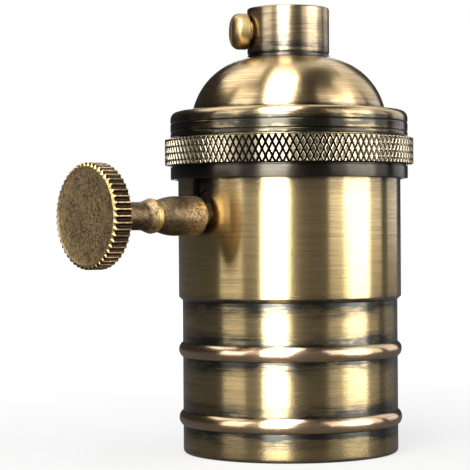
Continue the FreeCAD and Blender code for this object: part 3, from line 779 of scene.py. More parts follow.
@dataclass
class OuterShell:
    """The beaded shell, pressed from sheet and brushed, with the slot that the knob's stem stands in."""

    wall: float = 0.8 * MM
    lower_r: float = 17.3 * MM
    upper_r: float = 17.9 * MM
    thread_length: float = 3.6 * MM
    thread_stand: float = 0.4 * MM
    step_height: float = 25.05 * MM
    step_rise: float = 0.55 * MM
    bead_heights: tuple[float, float] = (5.65 * MM, 16.6 * MM)
    bead_half_width: float = 1.2 * MM
    bead_rise: float = 0.65 * MM
    rim_turn_in: float = 1.85 * MM
    rim_corner: float = 0.6 * MM
    slot_width: float = 4.2 * MM
    steps: int = 288
    rim: float = field(init=False)
    top: float = field(init=False)
    slot_level: float = field(init=False)

    def __post_init__(self) -> None:
        """Takes the shell's levels from the frame."""
        low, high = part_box("outer_shell")
        knob_low, knob_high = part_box("switch_knob")
        self.rim, self.top = low.z, high.z
        self.slot_level = (knob_low.z + knob_high.z) / 2

    def bead(self, radius: float, height: float, inward: float) -> list[Item]:
        """One rolled bead, on the face that lies in from the outside.

        Args:
            radius: The outer face's radius below and above the bead.
            height: The bead's height above the rim.
            inward: How far in the face lies.

        Returns:
            The bead's items, from its lower to its upper foot.
        """
        arc_r = (self.bead_half_width**2 + self.bead_rise**2) / (2 * self.bead_rise)
        centre_r = radius + self.bead_rise - arc_r
        half = math.sqrt((arc_r - inward) ** 2 - (radius - inward - centre_r) ** 2)
        level = self.rim + height
        crest = centre_r + arc_r - inward
        return [(radius - inward, level - half), ("bow", crest, level), (radius - inward, level + half)]

    def section(self) -> list[Point]:
        """The shell's closed half section.

        Returns:
            The section's points, as (radius, height) pairs.
        """
        step_top = self.rim + self.step_height
        step_foot = step_top - self.step_rise
        shift = self.wall * math.tan(math.atan2(self.upper_r - self.lower_r, self.step_rise) / 2)
        thread_r = self.upper_r + self.thread_stand
        thread_foot = self.top - self.thread_length
        mouth_r = self.lower_r - self.rim_turn_in
        outside: list[Item] = []
        inside: list[Item] = []
        for height in self.bead_heights:
            outside += self.bead(self.lower_r, height, 0.0)
            inside = self.bead(self.lower_r, height, self.wall)[::-1] + inside
        soft = self.wall / 4
        return outline([
            (mouth_r, self.rim, soft),
            (self.lower_r, self.rim, self.rim_corner),
            *outside,
            (self.lower_r, step_foot, soft),
            (self.upper_r, step_top, soft),
            (self.upper_r, thread_foot),
            (thread_r, thread_foot + self.thread_stand),
            (thread_r, self.top, soft),
            (thread_r - self.wall, self.top, soft),
            (thread_r - self.wall, thread_foot + self.thread_stand),
            (self.upper_r - self.wall, thread_foot),
            (self.upper_r - self.wall, step_top + shift),
            (self.lower_r - self.wall, step_foot + shift),
            *inside,
            (self.lower_r - self.wall, self.rim + self.wall),
            (mouth_r, self.rim + self.wall, soft),
        ])

    def slot_cutters(self) -> list[bmesh.types.BMesh]:
        """The shapes that cut the slot: a round end, and a straight part up through the thread.

        Returns:
            The two shapes.
        """
        reach = self.upper_r * 1.5
        height = self.top + self.wall - self.slot_level
        size = Vector((reach, self.slot_width, height))
        centre = Vector((-reach / 2 - self.wall, 0.0, self.slot_level + height / 2))
        to_knob = Matrix.Translation((0.0, 0.0, self.slot_level)) @ Matrix.Rotation(-math.pi / 2, 4, "Y")
        round_end = rod(self.slot_width / 2, reach, to_knob @ Matrix.Translation((0.0, 0.0, self.wall)))
        return [round_end, prism(size, centre)]

    def finish(self) -> BrushedBrass:
        """The shell's brushed brass, with patina beside its beads and its step, painted shade in the creases
        at their feet, inside the shell and round the slot, and coppery on its beads.

        Returns:
            The finish.
        """
        # Patina and painted shade: line darkens the creases at the feet of the beads and the step, where
        # shade falls.
        clean, cloudy, dark, line = 0.04, 0.22, 0.84, 1.0
        coppery = 0.85
        reach, line_width = 2.6 * MM, 0.22 * MM
        blur = line_width * 1.3
        rim_fade, thread_fade, thread_edge = 1.2 * MM, 8 * MM, 4.7 * MM
        stops: list[Point] = [(self.rim, 0.5), (self.rim + rim_fade, cloudy)]
        crests: list[Point] = [(self.rim, 0.0)]
        for height in self.bead_heights:
            level = self.rim + height
            edge = self.bead_half_width
            stops += [
                (level - edge - reach, cloudy),
                (level - edge - blur, dark),
                (level - edge - line_width, line),
                (level - edge, line),
                (level - edge * 0.85, 0.05),
                (level + edge * 0.85, 0.05),
                (level + edge, line),
                (level + edge + line_width, line),
                (level + edge + blur, dark),
                (level + edge + reach, cloudy),
            ]
            crests += [
                (level - edge, 0.0),
                (level - edge * 0.6, coppery),
                (level + edge * 0.6, coppery),
                (level + edge, 0.0),
            ]
        step_foot = self.rim + self.step_height - self.step_rise
        stops += [
            (step_foot - reach, cloudy + 0.06),
            (step_foot - line_width, dark),
            (step_foot, line),
            (step_foot + self.step_rise, 0.3),
            (step_foot + 3 * self.step_rise, clean),
            (self.top - thread_fade, clean),
            (self.top - thread_edge, 0.5),
        ]
        crests.append((self.top, 0.0))
        # Painted shade: the shell's inside is darkened nearly to black.
        inner_r, inside = self.upper_r - self.wall, 0.95
        depths = (
            (0.0, inside),
            (inner_r + 0.04 * MM, inside),
            (inner_r + 0.1 * MM, 0.0),
            (self.upper_r + self.wall, 0.0),
        )
        return BrushedBrass(
            "shell_brass",
            patina_and_shade_stops=tuple(stops),
            worn_stops=tuple(crests),
            depth_stops=depths,
            # Painted shade round the slot, beside the knob's stem.
            slot_shade=(self.slot_level, self.slot_width * 0.53, self.slot_width * 0.95),
        )

    def build(self) -> bpy.types.Object:
        """Builds and dresses the shell.

        Returns:
            The shell's object.
        """
        mesh = carved(lathe(self.section(), self.steps), self.slot_cutters())
        material = self.finish().material()
        return piece(mesh, "beaded_shell", Body.SHELL, material, ["outer_shell"])


@dataclass
class UnionRing:
    """The knurled ring: a lip, a fine groove, and a band of flat-topped diamonds in crossing grooves."""

    bore_r: float = 18.4 * MM
    collar_thickness: float = 1.1 * MM
    collar_bore_r: float = 17.6 * MM
    lip_r: float = 19.1 * MM
    lip_height: float = 2.0 * MM
    groove_depth: float = 0.25 * MM
    groove_height: float = 0.2 * MM
    knurl_depth: float = 0.4 * MM
    diamonds: int = 120
    half_diamond: float = 1.07 * MM
    first_row: float = 0.41 * MM
    groove_share: float = 0.324
    edge_share: float = 0.09
    chamfer: float = 0.18 * MM
    weld: float = 0.02 * MM
    steps: int = 240
    bottom: float = field(init=False)
    top: float = field(init=False)
    tip_r: float = field(init=False)

    def __post_init__(self) -> None:
        """Takes the ring's levels and width from the frame."""
        low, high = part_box("knurled_ring")
        self.bottom, self.top, self.tip_r = low.z, high.z, high.x

    def plain_section(self) -> list[Point]:
        """The ring's closed half section without its knurling.

        Returns:
            The section's points, as (radius, height) pairs.
        """
        soft = self.groove_depth / 2
        lip_top = self.bottom + self.lip_height
        groove_r = self.lip_r - self.groove_depth
        core_r = self.tip_r - 2 * self.knurl_depth
        return outline([
            (self.bore_r, self.bottom, soft),
            (self.lip_r, self.bottom, soft),
            (self.lip_r, lip_top, soft),
            (groove_r, lip_top),
            (groove_r, lip_top + self.groove_height),
            (core_r, lip_top + self.groove_height),
            (core_r, self.top - soft),
            (self.collar_bore_r, self.top - soft),
            (self.collar_bore_r, self.top - self.collar_thickness),
            (self.bore_r, self.top - self.collar_thickness),
        ])

    def diamond(self) -> bmesh.types.BMesh:
        """One flat-topped diamond at the start of a row, facing out along X at height 0.

        Returns:
            The diamond's mesh, open behind.
        """
        root_r = self.tip_r - self.knurl_depth
        half_width = root_r * math.tan(math.pi / self.diamonds)
        mesh = bmesh.new()
        bmesh.ops.create_circle(mesh, segments=4, radius=1.0, cap_ends=True)
        bmesh.ops.scale(mesh, verts=mesh.verts, vec=(self.half_diamond, half_width, 1.0))
        turn = Matrix.Translation((root_r, 0.0, 0.0)) @ Matrix.Rotation(math.pi / 2, 4, "Y")
        bmesh.ops.transform(mesh, verts=mesh.verts, matrix=turn)
        top = mesh.faces[:][0]
        bmesh.ops.inset_individual(
            mesh, faces=[top], thickness=half_width * self.groove_share, use_even_offset=True
        )
        bmesh.ops.translate(mesh, verts=top.verts[:], vec=(self.knurl_depth, 0.0, 0.0))
        bmesh.ops.bevel(
            mesh,
            geom=top.edges[:],
            offset=half_width * self.edge_share,
            offset_type="OFFSET",
            affect="EDGES",
            segments=1,
            profile=0.5,
            material=-1,
        )
        return mesh

    def knurling(self) -> bmesh.types.BMesh:
        """The band of diamonds, cut off level at both ends, chamfered and closed inside.

        Returns:
            The band's closed mesh.
        """
        band_bottom = self.bottom + self.lip_height + self.groove_height
        rows = math.ceil((self.top - band_bottom) / self.half_diamond) + 1
        band = bmesh.new()
        for row in range(rows + 1):
            unit = self.diamond()
            level = band_bottom + self.first_row + (row - 0.5) * self.half_diamond
            turn = Matrix.Rotation(math.pi / self.diamonds * (row % 2), 4, "Z")
            place = Matrix.Translation((0.0, 0.0, level)) @ turn
            bmesh.ops.transform(unit, verts=unit.verts, matrix=place)
            band = joined(band, unit)
        bmesh.ops.spin(
            band,
            geom=band.verts[:] + band.edges[:] + band.faces[:],
            cent=(0.0, 0.0, 0.0),
            axis=(0.0, 0.0, 1.0),
            dvec=(0.0, 0.0, 0.0),
            angle=FULL_TURN * (self.diamonds - 1) / self.diamonds,
            steps=self.diamonds - 1,
            use_merge=False,
            use_normal_flip=False,
            use_duplicate=True,
        )
        bmesh.ops.remove_doubles(band, verts=band.verts, dist=self.weld)
        foot_r = self.tip_r - 1.3 * self.knurl_depth
        inner_r = self.tip_r - 2.5 * self.knurl_depth
        loops = []
        for level, side in ((band_bottom, -1), (self.top, 1)):
            cut = level - side * self.chamfer
            whole = band.verts[:] + band.edges[:] + band.faces[:]
            bmesh.ops.bisect_plane(
                band,
                geom=whole,
                dist=WELD,
                plane_co=(0.0, 0.0, cut),
                plane_no=(0.0, 0.0, side),
                clear_outer=True,
            )
            rim = {vert for vert in band.verts if abs(vert.co.z - cut) < WELD}
            edges = [edge for edge in band.edges if edge.is_boundary and rim.issuperset(edge.verts)]
            for radius in (foot_r, inner_r):
                made = bmesh.ops.extrude_edge_only(band, edges=edges)["geom"]
                edges = [g for g in made if isinstance(g, bmesh.types.BMEdge)]
                for vert in {v for e in edges for v in e.verts}:
                    flat = vert.co.xy.normalized() * radius
                    vert.co = (flat.x, flat.y, level)
            loops += edges
        bmesh.ops.bridge_loops(band, edges=loops)
        bmesh.ops.recalc_face_normals(band, faces=band.faces)
        return band

    def finish(self) -> BrushedBrass:
        """The ring's brass: dark patina in its groove, and patina with painted shade between the diamonds'
        flats.

        Returns:
            The finish.
        """
        hollow, flat = 0.98, 0.2
        lip, knurls = 0.95, 0.25
        edge_width, edge_fade = 0.28 * MM, 0.4 * MM
        band_bottom = self.bottom + self.lip_height + self.groove_height
        stops = (
            (self.bottom, 0.05),
            (self.bottom + edge_width, 0.1),
            (self.bottom + edge_fade, lip),
            (band_bottom, lip),
            (band_bottom + self.chamfer, knurls),
            (self.top, knurls),
        )
        root_r = self.tip_r - self.knurl_depth
        # Patina and painted shade: the diamonds' slopes and the grooves between them go nearly black.
        depths = (
            (0.0, hollow),
            (root_r + 0.5 * self.knurl_depth, hollow),
            (self.tip_r - 0.12 * self.knurl_depth, 0.35),
            (self.tip_r, flat),
        )
        return BrushedBrass(
            "ring_brass",
            patina_and_shade_stops=stops,
            depth_stops=depths,
            clean=(0.50, 0.42, 0.29),
            patina=(0.025, 0.022, 0.017),
            roughness=0.24,
            lacquer=0.2,
        )

    def build(self) -> bpy.types.Object:
        """Builds and dresses the ring.

        Returns:
            The ring's object.
        """
        mesh = joined(self.knurling(), lathe(self.plain_section(), self.steps))
        material = self.finish().material()
        return piece(mesh, "union_ring", Body.RING, material, ["knurled_ring"], crease=18.0)


@dataclass
class Cap:
    """The pressed cap and the turned neck that stands on it."""

    skirt_height: float = 2.85 * MM
    corner: float = 1.25 * MM
    shoulder_drop: float = 0.15 * MM
    shoulder_width: float = 3.6 * MM
    arc_r: float = 11.1 * MM
    foot_turn: float = math.radians(12.2)
    wall: float = 1.0 * MM
    line_heights: tuple[float, float] = (0.7 * MM, 2.15 * MM)
    line_depth: float = 0.14 * MM
    line_width: float = 0.32 * MM
    neck_wall: float = 2.1 * MM
    spigot_wall: float = 1.1 * MM
    neck_line_height: float = 0.45 * MM
    neck_line_depth: float = 0.2 * MM
    neck_line_width: float = 0.35 * MM
    neck_edge: float = 0.35 * MM
    side_hole_r: float = 2.0 * MM
    steps: int = 288
    bottom: float = field(init=False)
    crown: float = field(init=False)
    skirt_r: float = field(init=False)
    neck_r: float = field(init=False)
    neck_foot: float = field(init=False)
    neck_top: float = field(init=False)

    def __post_init__(self) -> None:
        """Takes the cap's and neck's levels and widths from the frame."""
        low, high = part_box("cap_dome")
        self.bottom, self.crown, self.skirt_r = low.z, high.z, high.x
        low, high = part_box("neck_bush")
        self.neck_foot, self.neck_top, self.neck_r = low.z, high.z, high.x

    def arc_point(self, radius: float, turn: float) -> Point:
        """A point on an arc about the dome's centre of curvature.

        Args:
            radius: The arc's radius.
            turn: The angle up from level.

        Returns:
            The point, as (radius, height).
        """
        foot = self.bottom + self.skirt_height + self.corner + self.shoulder_drop
        centre_r = self.skirt_r - self.shoulder_width - self.arc_r * math.cos(self.foot_turn)
        centre_height = foot - self.arc_r * math.sin(self.foot_turn)
        return centre_r + radius * math.cos(turn), centre_height + radius * math.sin(turn)

    def dome_section(self) -> list[Point]:
        """The cap's closed half section.

        Returns:
            The section's points, as (radius, height) pairs.
        """
        inner_arc = self.arc_r - self.wall
        bend = self.foot_turn * 1.2
        centre_r, centre_height = self.arc_point(0.0, 0.0)
        top_turn = math.acos((self.neck_r - centre_r) / self.arc_r)
        foot = self.arc_point(self.arc_r, self.foot_turn)
        inner_foot = math.asin((foot[1] - self.wall - centre_height) / inner_arc)
        inner_top = math.asin((self.crown - self.wall - centre_height) / inner_arc)
        hole_r = self.neck_r - self.neck_wall + self.spigot_wall
        lines: list[Item] = []
        for height in self.line_heights:
            level = self.bottom + height
            lines += [
                (self.skirt_r, level - self.line_width / 2, self.line_width / 8),
                (self.skirt_r - self.line_depth, level, self.line_width / 8),
                (self.skirt_r, level + self.line_width / 2, self.line_width / 8),
            ]
        return outline([
            (self.skirt_r - self.wall, self.bottom),
            (self.skirt_r, self.bottom, self.wall / 10),
            *lines,
            (self.skirt_r, self.bottom + self.skirt_height + self.corner, self.corner),
            (*foot, self.wall / 5),
            self.arc_point(self.arc_r, bend),
            ("bow", *self.arc_point(self.arc_r, (bend + top_turn) / 2)),
            (self.neck_r, self.crown),
            (hole_r, self.crown),
            (hole_r, self.crown - self.wall),
            self.arc_point(inner_arc, inner_top),
            ("bow", *self.arc_point(inner_arc, (inner_foot + inner_top) / 2)),
            self.arc_point(inner_arc, inner_foot),
            (self.skirt_r - self.wall, foot[1] - self.wall - self.shoulder_drop, self.wall / 4),
        ], bow_segments=40)

    def neck_section(self) -> list[Point]:
        """The neck's closed half section, from its spigot under the dome to its mouth.

        Returns:
            The section's points, as (radius, height) pairs.
        """
        bore_r = self.neck_r - self.neck_wall
        spigot_r = bore_r + self.spigot_wall
        line = self.crown + self.neck_line_height
        return outline([
            (bore_r, self.neck_foot),
            (spigot_r, self.neck_foot),
            (spigot_r, self.crown),
            (self.neck_r, self.crown),
            (self.neck_r, line - self.neck_line_width / 2),
            (self.neck_r - self.neck_line_depth, line, self.neck_line_width / 6),
            (self.neck_r, line + self.neck_line_width / 2, self.neck_line_width / 6),
            (self.neck_r, self.neck_top, self.neck_edge),
            (bore_r, self.neck_top, self.neck_edge),
        ])

    def dome_finish(self) -> BrushedBrass:
        """The dome's brass, with patina in the skirt's lines and round the dome's foot.

        Returns:
            The finish.
        """
        lines = [self.bottom + height for height in self.line_heights]
        foot = self.arc_point(self.arc_r, self.foot_turn)[1]
        half = self.line_width / 2
        foot_fade, dome_fade, crown_fade = 0.7 * MM, 3 * MM, 0.9 * MM
        stops = [(self.bottom, 0.95), (lines[0] - 1.6 * half, 0.86)]
        for line in lines:
            stops += [(line - half, 0.95), (line, 1.0), (line + half, 0.75)]
        stops += [
            (lines[1] + 2 * half, 0.82),
            (foot - self.corner * 0.9, 0.5),
            (foot - self.corner * 0.3, 0.05),
            (foot - self.shoulder_drop, 0.05),
            (foot, 0.85),
            (foot + foot_fade, 0.3),
            (foot + dome_fade, 0.1),
            (self.crown - crown_fade, 0.12),
            (self.crown, 0.8),
        ]
        return BrushedBrass(
            "dome_brass",
            patina_and_shade_stops=tuple(stops),
            clean=(0.66, 0.47, 0.23),
            patina=(0.025, 0.025, 0.02),
            lacquer=0.3,
        )

    def neck_finish(self) -> BrushedBrass:
        """The neck's brass, with patina in its line and a rubbed mouth.

        Returns:
            The finish.
        """
        mouth_fade = 0.6 * MM
        stops = (
            (self.neck_foot, 0.4),
            (self.crown, 0.95),
            (self.crown + self.neck_line_height, 0.95),
            (self.crown + 1.8 * self.neck_line_height, 0.72),
            (self.crown + 6 * self.neck_line_height, 0.5),
            (self.neck_top - mouth_fade, 0.36),
            (self.neck_top, 0.5),
        )
        return BrushedBrass(
            "neck_brass",
            patina_and_shade_stops=stops,
            clean=(0.68, 0.50, 0.28),
            roughness=0.3,
            lacquer=0.2,
        )

    def build(self, screw_axis: Matrix) -> list[bpy.types.Object]:
        """Builds and dresses the dome and the neck.

        Args:
            screw_axis: Turns +Z out along the locking screw, from the lamp's axis.

        Returns:
            The two objects.
        """
        dome = lathe(self.dome_section(), self.steps)
        hole = rod(self.side_hole_r, 2 * self.neck_r, screw_axis)
        neck = carved(lathe(self.neck_section(), self.steps // 2), [hole])
        return [
            piece(dome, "domed_cap", Body.CAP, self.dome_finish().material(), ["cap_dome"]),
            piece(neck, "turned_neck", Body.CAP, self.neck_finish().material(), ["neck_bush"]),
        ]


@dataclass
class LockScrew:
    """The slotted screw in the neck's side, which holds the pipe; its bearing is counted from +X."""

    drop: float = 3.8 * MM
    bearing: float = math.radians(153.5)
    head_r: float = 2.9 * MM
    head_height: float = 2.7 * MM
    head_round: float = 1.25 * MM
    shank_r: float = 1.95 * MM
    slot_width: float = 0.8 * MM
    slot_depth: float = 0.8 * MM
    slot_turn: float = math.radians(78.0)
    steps: int = 96
    gap: float = 0.1 * MM
    neck_r: float = field(init=False)
    neck_top: float = field(init=False)

    def __post_init__(self) -> None:
        """Takes the neck's place from the frame."""
        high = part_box("neck_bush")[1]
        self.neck_r, self.neck_top = high.x, high.z

    def axis(self) -> Matrix:
        """Turns +Z out along the screw, with its start on the lamp's axis."""
        place = Matrix.Translation((0.0, 0.0, self.neck_top - self.drop))
        return place @ Matrix.Rotation(self.bearing, 4, "Z") @ Matrix.Rotation(math.pi / 2, 4, "Y")

    def build(self) -> bpy.types.Object:
        """Builds and dresses the screw.

        Returns:
            The screw's object.
        """
        seat = self.neck_r + self.gap
        face = seat + self.head_height
        tip_r = self.shank_r * 0.8
        section = outline([
            (0.0, seat - self.shank_r),
            (tip_r, seat - self.shank_r),
            (self.shank_r, seat - tip_r),
            (self.shank_r, seat),
            (self.head_r, seat, self.head_round / 3),
            (self.head_r, face, self.head_round),
            (0.0, face),
        ], segments=8)
        size = Vector((self.slot_width, 4 * self.head_r, 2 * self.slot_depth))
        slot = prism(size, Vector((0.0, 0.0, face)))
        bmesh.ops.rotate(slot, verts=slot.verts, matrix=Matrix.Rotation(self.slot_turn, 3, "Z"))
        mesh = carved(lathe(section, self.steps), [slot])
        bmesh.ops.transform(mesh, matrix=self.axis(), verts=mesh.verts)
        finish = PolishedBrass(
            "screw_brass",
            colour=(0.44, 0.32, 0.15),
            tarnish=(0.12, 0.075, 0.03),
            roughness=0.38,
            stained=0.95,
        )
        return piece(
            mesh, "locking_screw", Body.LOCK_SCREW, finish.material(), ["neck_lock_screw"]
        )


@dataclass
class Knob:
    """The cast turn knob: a fluted disc, a slim neck, a collar and a barrel over the end of the shaft."""

    flutes: int = 50
    flute_depth: float = 0.42 * MM
    flute_share: float = 0.77
    flute_points: int = 12
    disc_thickness: float = 3.2 * MM
    bevel: float = 0.35 * MM
    rim_width: float = 0.75 * MM
    dish: float = 0.1 * MM
    barrel_r: float = 3.05 * MM
    barrel_length: float = 4.5 * MM
    barrel_edge: float = 0.35 * MM
    ogive_length: float = 3.4 * MM
    ogive_fullness: float = 0.72
    waist_r: float = 2.3 * MM
    collar_r: float = 2.72 * MM
    collar_length: float = 2.7 * MM
    neck_r: float = 2.15 * MM
    flare: float = 0.5 * MM
    shaft_r: float = 1.55 * MM
    stem_steps: int = 96
    rim_wear: float = 0.54
    crest_wear: float = 0.62
    flute_wear: float = -0.7
    face_wear: float = 0.02
    # Painted light on the disc's back, not wear.
    back_painted_light: float = 0.6
    stem_wear: float = -0.36
    collar_wear: float = 0.44
    barrel_wear: float = 0.26
    start: float = field(init=False)
    face: float = field(init=False)
    disc_r: float = field(init=False)
    level: float = field(init=False)

    def __post_init__(self) -> None:
        """Takes the knob's place and size from the frame."""
        low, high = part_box("switch_knob")
        self.start, self.face = -high.x, -low.x
        self.disc_r, self.level = (high.z - low.z) / 2, (high.z + low.z) / 2

    def fluted_r(self, angle: float) -> float:
        """The disc's radius at an angle, lowest in the middle of each flute.

        Args:
            angle: The angle round the disc.

        Returns:
            The radius.
        """
        place = (angle / FULL_TURN * self.flutes + 0.5) % 1.0 - 0.5
        across = min(1.0, abs(place) / (self.flute_share / 2))
        return self.disc_r - self.flute_depth * (1 - across**2.6)

    def disc(self) -> bmesh.types.BMesh:
        """The fluted disc, with a plain rim round a face that is dished a little.

        Returns:
            The disc's closed mesh, facing up.
        """
        back = self.face - self.disc_thickness
        rim_r = self.disc_r - self.flute_depth
        inner_r = self.disc_r - self.rim_width
        eased = 0.985
        rings = [
            (-self.neck_r * 1.2, back),
            (-inner_r, back),
            (-(rim_r - self.bevel / 3), back + self.bevel / 8),
            (eased, back + self.bevel * 0.6),
            (1.0, back + self.bevel),
            (1.0, self.face - self.bevel),
            (eased, self.face - self.bevel * 0.6),
            (-(rim_r - self.bevel / 3), self.face - self.bevel / 8),
            (-(rim_r - self.bevel * 0.8), self.face),
            (-inner_r, self.face - self.dish * 0.3),
            (-(inner_r - self.rim_width / 3), self.face - self.dish),
            (-inner_r * 0.6, self.face - self.dish * 0.7),
            (-inner_r * 0.2, self.face - self.dish * 0.5),
        ]
        return loft(self.fluted_r, self.flutes * self.flute_points, rings)

    def stem(self) -> bmesh.types.BMesh:
        """The turned stem, from the barrel's mouth into the disc.

        Returns:
            The stem's closed mesh, standing up.
        """
        barrel_end = self.start + self.barrel_length
        waist = barrel_end + self.ogive_length
        collar_end = waist + self.collar_length
        back = self.face - self.disc_thickness
        ogive_r = self.waist_r + (self.barrel_r - self.waist_r) * self.ogive_fullness
        crest = waist + self.collar_length * 0.4
        return lathe(outline([
            (self.shaft_r, self.start),
            (self.barrel_r, self.start, self.barrel_edge),
            (self.barrel_r, barrel_end),
            ("bow", ogive_r, (barrel_end + waist) / 2),
            (self.waist_r, waist),
            (self.collar_r * 0.94, waist + self.collar_length * 0.1, self.collar_length * 0.08),
            (self.collar_r, crest, self.collar_length * 0.2),
            (self.neck_r, collar_end, self.collar_length * 0.1),
            (self.neck_r, back - self.flare),
            ("bow", self.neck_r + self.flare / 3, back - self.flare / 3),
            (self.neck_r + self.flare, back),
            (self.neck_r + self.flare, back + self.bevel),
            (self.shaft_r, back + self.bevel),
        ]), self.stem_steps)

    def wear_and_light_at(self, out: float, radius: float) -> float:
        """How much a point of the knob is rubbed bright, or, below zero, how dark it has gone; the disc's
        back is painted light.

        Args:
            out: How far the point stands out from the lamp's axis.
            radius: Its distance from the knob's own axis.

        Returns:
            The wear and painted light there.
        """
        back = self.face - self.disc_thickness
        collar_start = self.start + self.barrel_length + self.ogive_length
        collar_crest = collar_start + self.collar_length * 0.55
        if radius > self.disc_r - self.rim_width * 0.95:
            if out > self.face - self.bevel * 0.9:
                return self.rim_wear
            crest = 1 - (self.disc_r - radius) / self.flute_depth
            return max(0.0, min(1.0, crest)) ** 3 * self.crest_wear + self.flute_wear
        # Painted light: the disc's back is made bright, for the light that reaches it.
        if radius > self.neck_r + 2 * self.flare and out < self.face - self.disc_thickness * 0.6:
            return self.back_painted_light
        if out < self.start + self.barrel_length * 0.75:
            return self.barrel_wear
        if radius < self.collar_r * 1.02 and collar_start < out < collar_crest:
            return self.collar_wear
        return self.stem_wear if out < back else self.face_wear

    def mark_wear_and_light(self, data: bpy.types.Mesh) -> None:
        """Notes the wear, and the painted light on the disc's back, at each vertex, for the finish.

        Args:
            data: The knob's mesh, in place.
        """
        wear_and_light = data.attributes.new("wear_and_light", "FLOAT", "POINT")
        places = [(-vert.co.x, math.hypot(vert.co.y, vert.co.z - self.level)) for vert in data.vertices]
        wear_and_light.data.foreach_set("value", [self.wear_and_light_at(*place) for place in places])

    def build(self) -> bpy.types.Object:
        """Builds and dresses the knob.

        Returns:
            The knob's object.
        """
        mesh = joined(self.disc(), self.stem())
        lay = Matrix.Translation((0.0, 0.0, self.level)) @ Matrix.Rotation(-math.pi / 2, 4, "Y")
        bmesh.ops.transform(mesh, matrix=lay, verts=mesh.verts)
        material = CastBrass("knob_brass").material()
        made = piece(mesh, "fluted_knob", Body.KNOB, material, ["switch_knob"], crease=40.0)
        self.mark_wear_and_light(made.data)
        return made


@dataclass
class ScrewShell:
    """The screw shell that takes the lamp, with its thread rolled as a true helix."""

    minor_r: float = 12.25 * MM
    depth: float = 1.0 * MM
    pitch: float = 3.62 * MM
    mouth_length: float = 2.2 * MM
    lead: float = 1.0 * MM
    wall: float = 0.35 * MM
    eye_r: float = 5.9 * MM
    corner: float = 0.6 * MM
    rows_per_turn: int = 12
    steps: int = 120
    hole_r: float = 1.5 * MM
    hole_place: Point = (-4.0 * MM, 8.3 * MM)
    mouth: float = field(init=False)
    top: float = field(init=False)
    mouth_r: float = field(init=False)

    def __post_init__(self) -> None:
        """Takes the shell's levels and mouth from the frame."""
        low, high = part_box("screw_shell")
        self.mouth, self.top, self.mouth_r = low.z, high.z, high.x - self.wall

    def section(self) -> list[Point]:
        """The shell's closed half section before its thread is rolled, in closely spaced rows.

        Returns:
            The section's points, as (radius, height) pairs.
        """
        start = self.mouth + self.mouth_length
        end = self.top - self.wall - self.corner
        rows = round((end - start) / self.pitch * self.rows_per_turn)
        levels = [start + (end - start) * i / rows for i in range(rows + 1)]
        major_r = self.minor_r + self.depth
        inside = [(major_r, level) for level in levels]
        outside = [(major_r + self.wall, level) for level in levels[::-1]]
        disc = self.top - self.wall
        return outline([
            (self.mouth_r, self.mouth),
            (self.mouth_r, start - self.wall),
            *inside,
            (major_r, disc, self.corner / 2),
            (self.eye_r, disc),
            (self.eye_r, self.top),
            (major_r + self.wall, self.top, self.corner),
            *outside,
            (self.mouth_r + self.wall, start - self.wall),
            (self.mouth_r + self.wall, self.mouth),
        ])

    def roll_thread(self, mesh: bmesh.types.BMesh) -> None:
        """Presses the right-handed thread into the plain part, fading at both ends.

        Args:
            mesh: The shell's mesh.
        """
        start = self.mouth + self.mouth_length
        end = self.top - self.wall - self.corner
        for vert in mesh.verts:
            height = vert.co.z
            radius = vert.co.xy.length
            if not start < height < end or radius < self.minor_r:
                continue
            turn = (height - start) / self.pitch - math.atan2(vert.co.y, vert.co.x) / FULL_TURN
            fade = min(1.0, (height - start) / self.lead, (end - height) / self.lead)
            dip = self.depth * fade * (1 - math.cos(FULL_TURN * turn)) / 2
            vert.co.xy = vert.co.xy * ((radius - dip) / radius)

    def build(self) -> bpy.types.Object:
        """Builds and dresses the screw shell.

        Returns:
            The shell's object.
        """
        mesh = lathe(self.section(), self.steps)
        self.roll_thread(mesh)
        x, y = self.hole_place
        low = self.top - 2 * self.wall
        holes = [rod(self.hole_r, 3 * self.wall, Matrix.Translation((x, side * y, low))) for side in (-1, 1)]
        finish = PolishedBrass("thread_brass", colour=(0.80, 0.62, 0.34), roughness=0.26)
        shell = carved(mesh, holes)
        return piece(shell, "thread_shell", Body.SHELL, finish.material(), ["screw_shell"])


class KeptNodes:
    """The solid nodes that stay as they are, and the finish that each one gets."""

    def __init__(self) -> None:
        """Makes one material for each kind of finish."""
        self.brass = PolishedBrass("bare_brass_finish", colour=(0.78, 0.60, 0.32), roughness=0.3).material()
        self.steel = PlatedSteel("plated_finish").material()
        self.glaze = Porcelain("porcelain_finish").material()
        self.moulding = Moulding("moulding_finish").material()

    def dress(self, nodes: dict[str, bpy.types.Object]) -> None:
        """Gives each shown node its finish.

        Args:
            nodes: The frame's nodes by name.
        """
        finishes = {
            "porcelain_base": self.glaze,
            "socket_screws": self.steel,
            "socket_nuts": self.steel,
            "terminal_screws": self.steel,
            "earth_screw": self.steel,
            "shaft_clip": self.steel,
            "shaft_bush": self.moulding,
            "switch_body": self.moulding,
            "switch_cover": self.moulding,
            "switch_rotor": self.moulding,
        }
        for name, node in nodes.items():
            if node.hide_render:
                continue
            finish = finishes.get(name, self.brass)
            for slot in node.material_slots:
                slot.material = finish
            log.info("%s: %s", name, finish.name)


# ---------------------------------------------------------------------------
# Studio
# ---------------------------------------------------------------------------


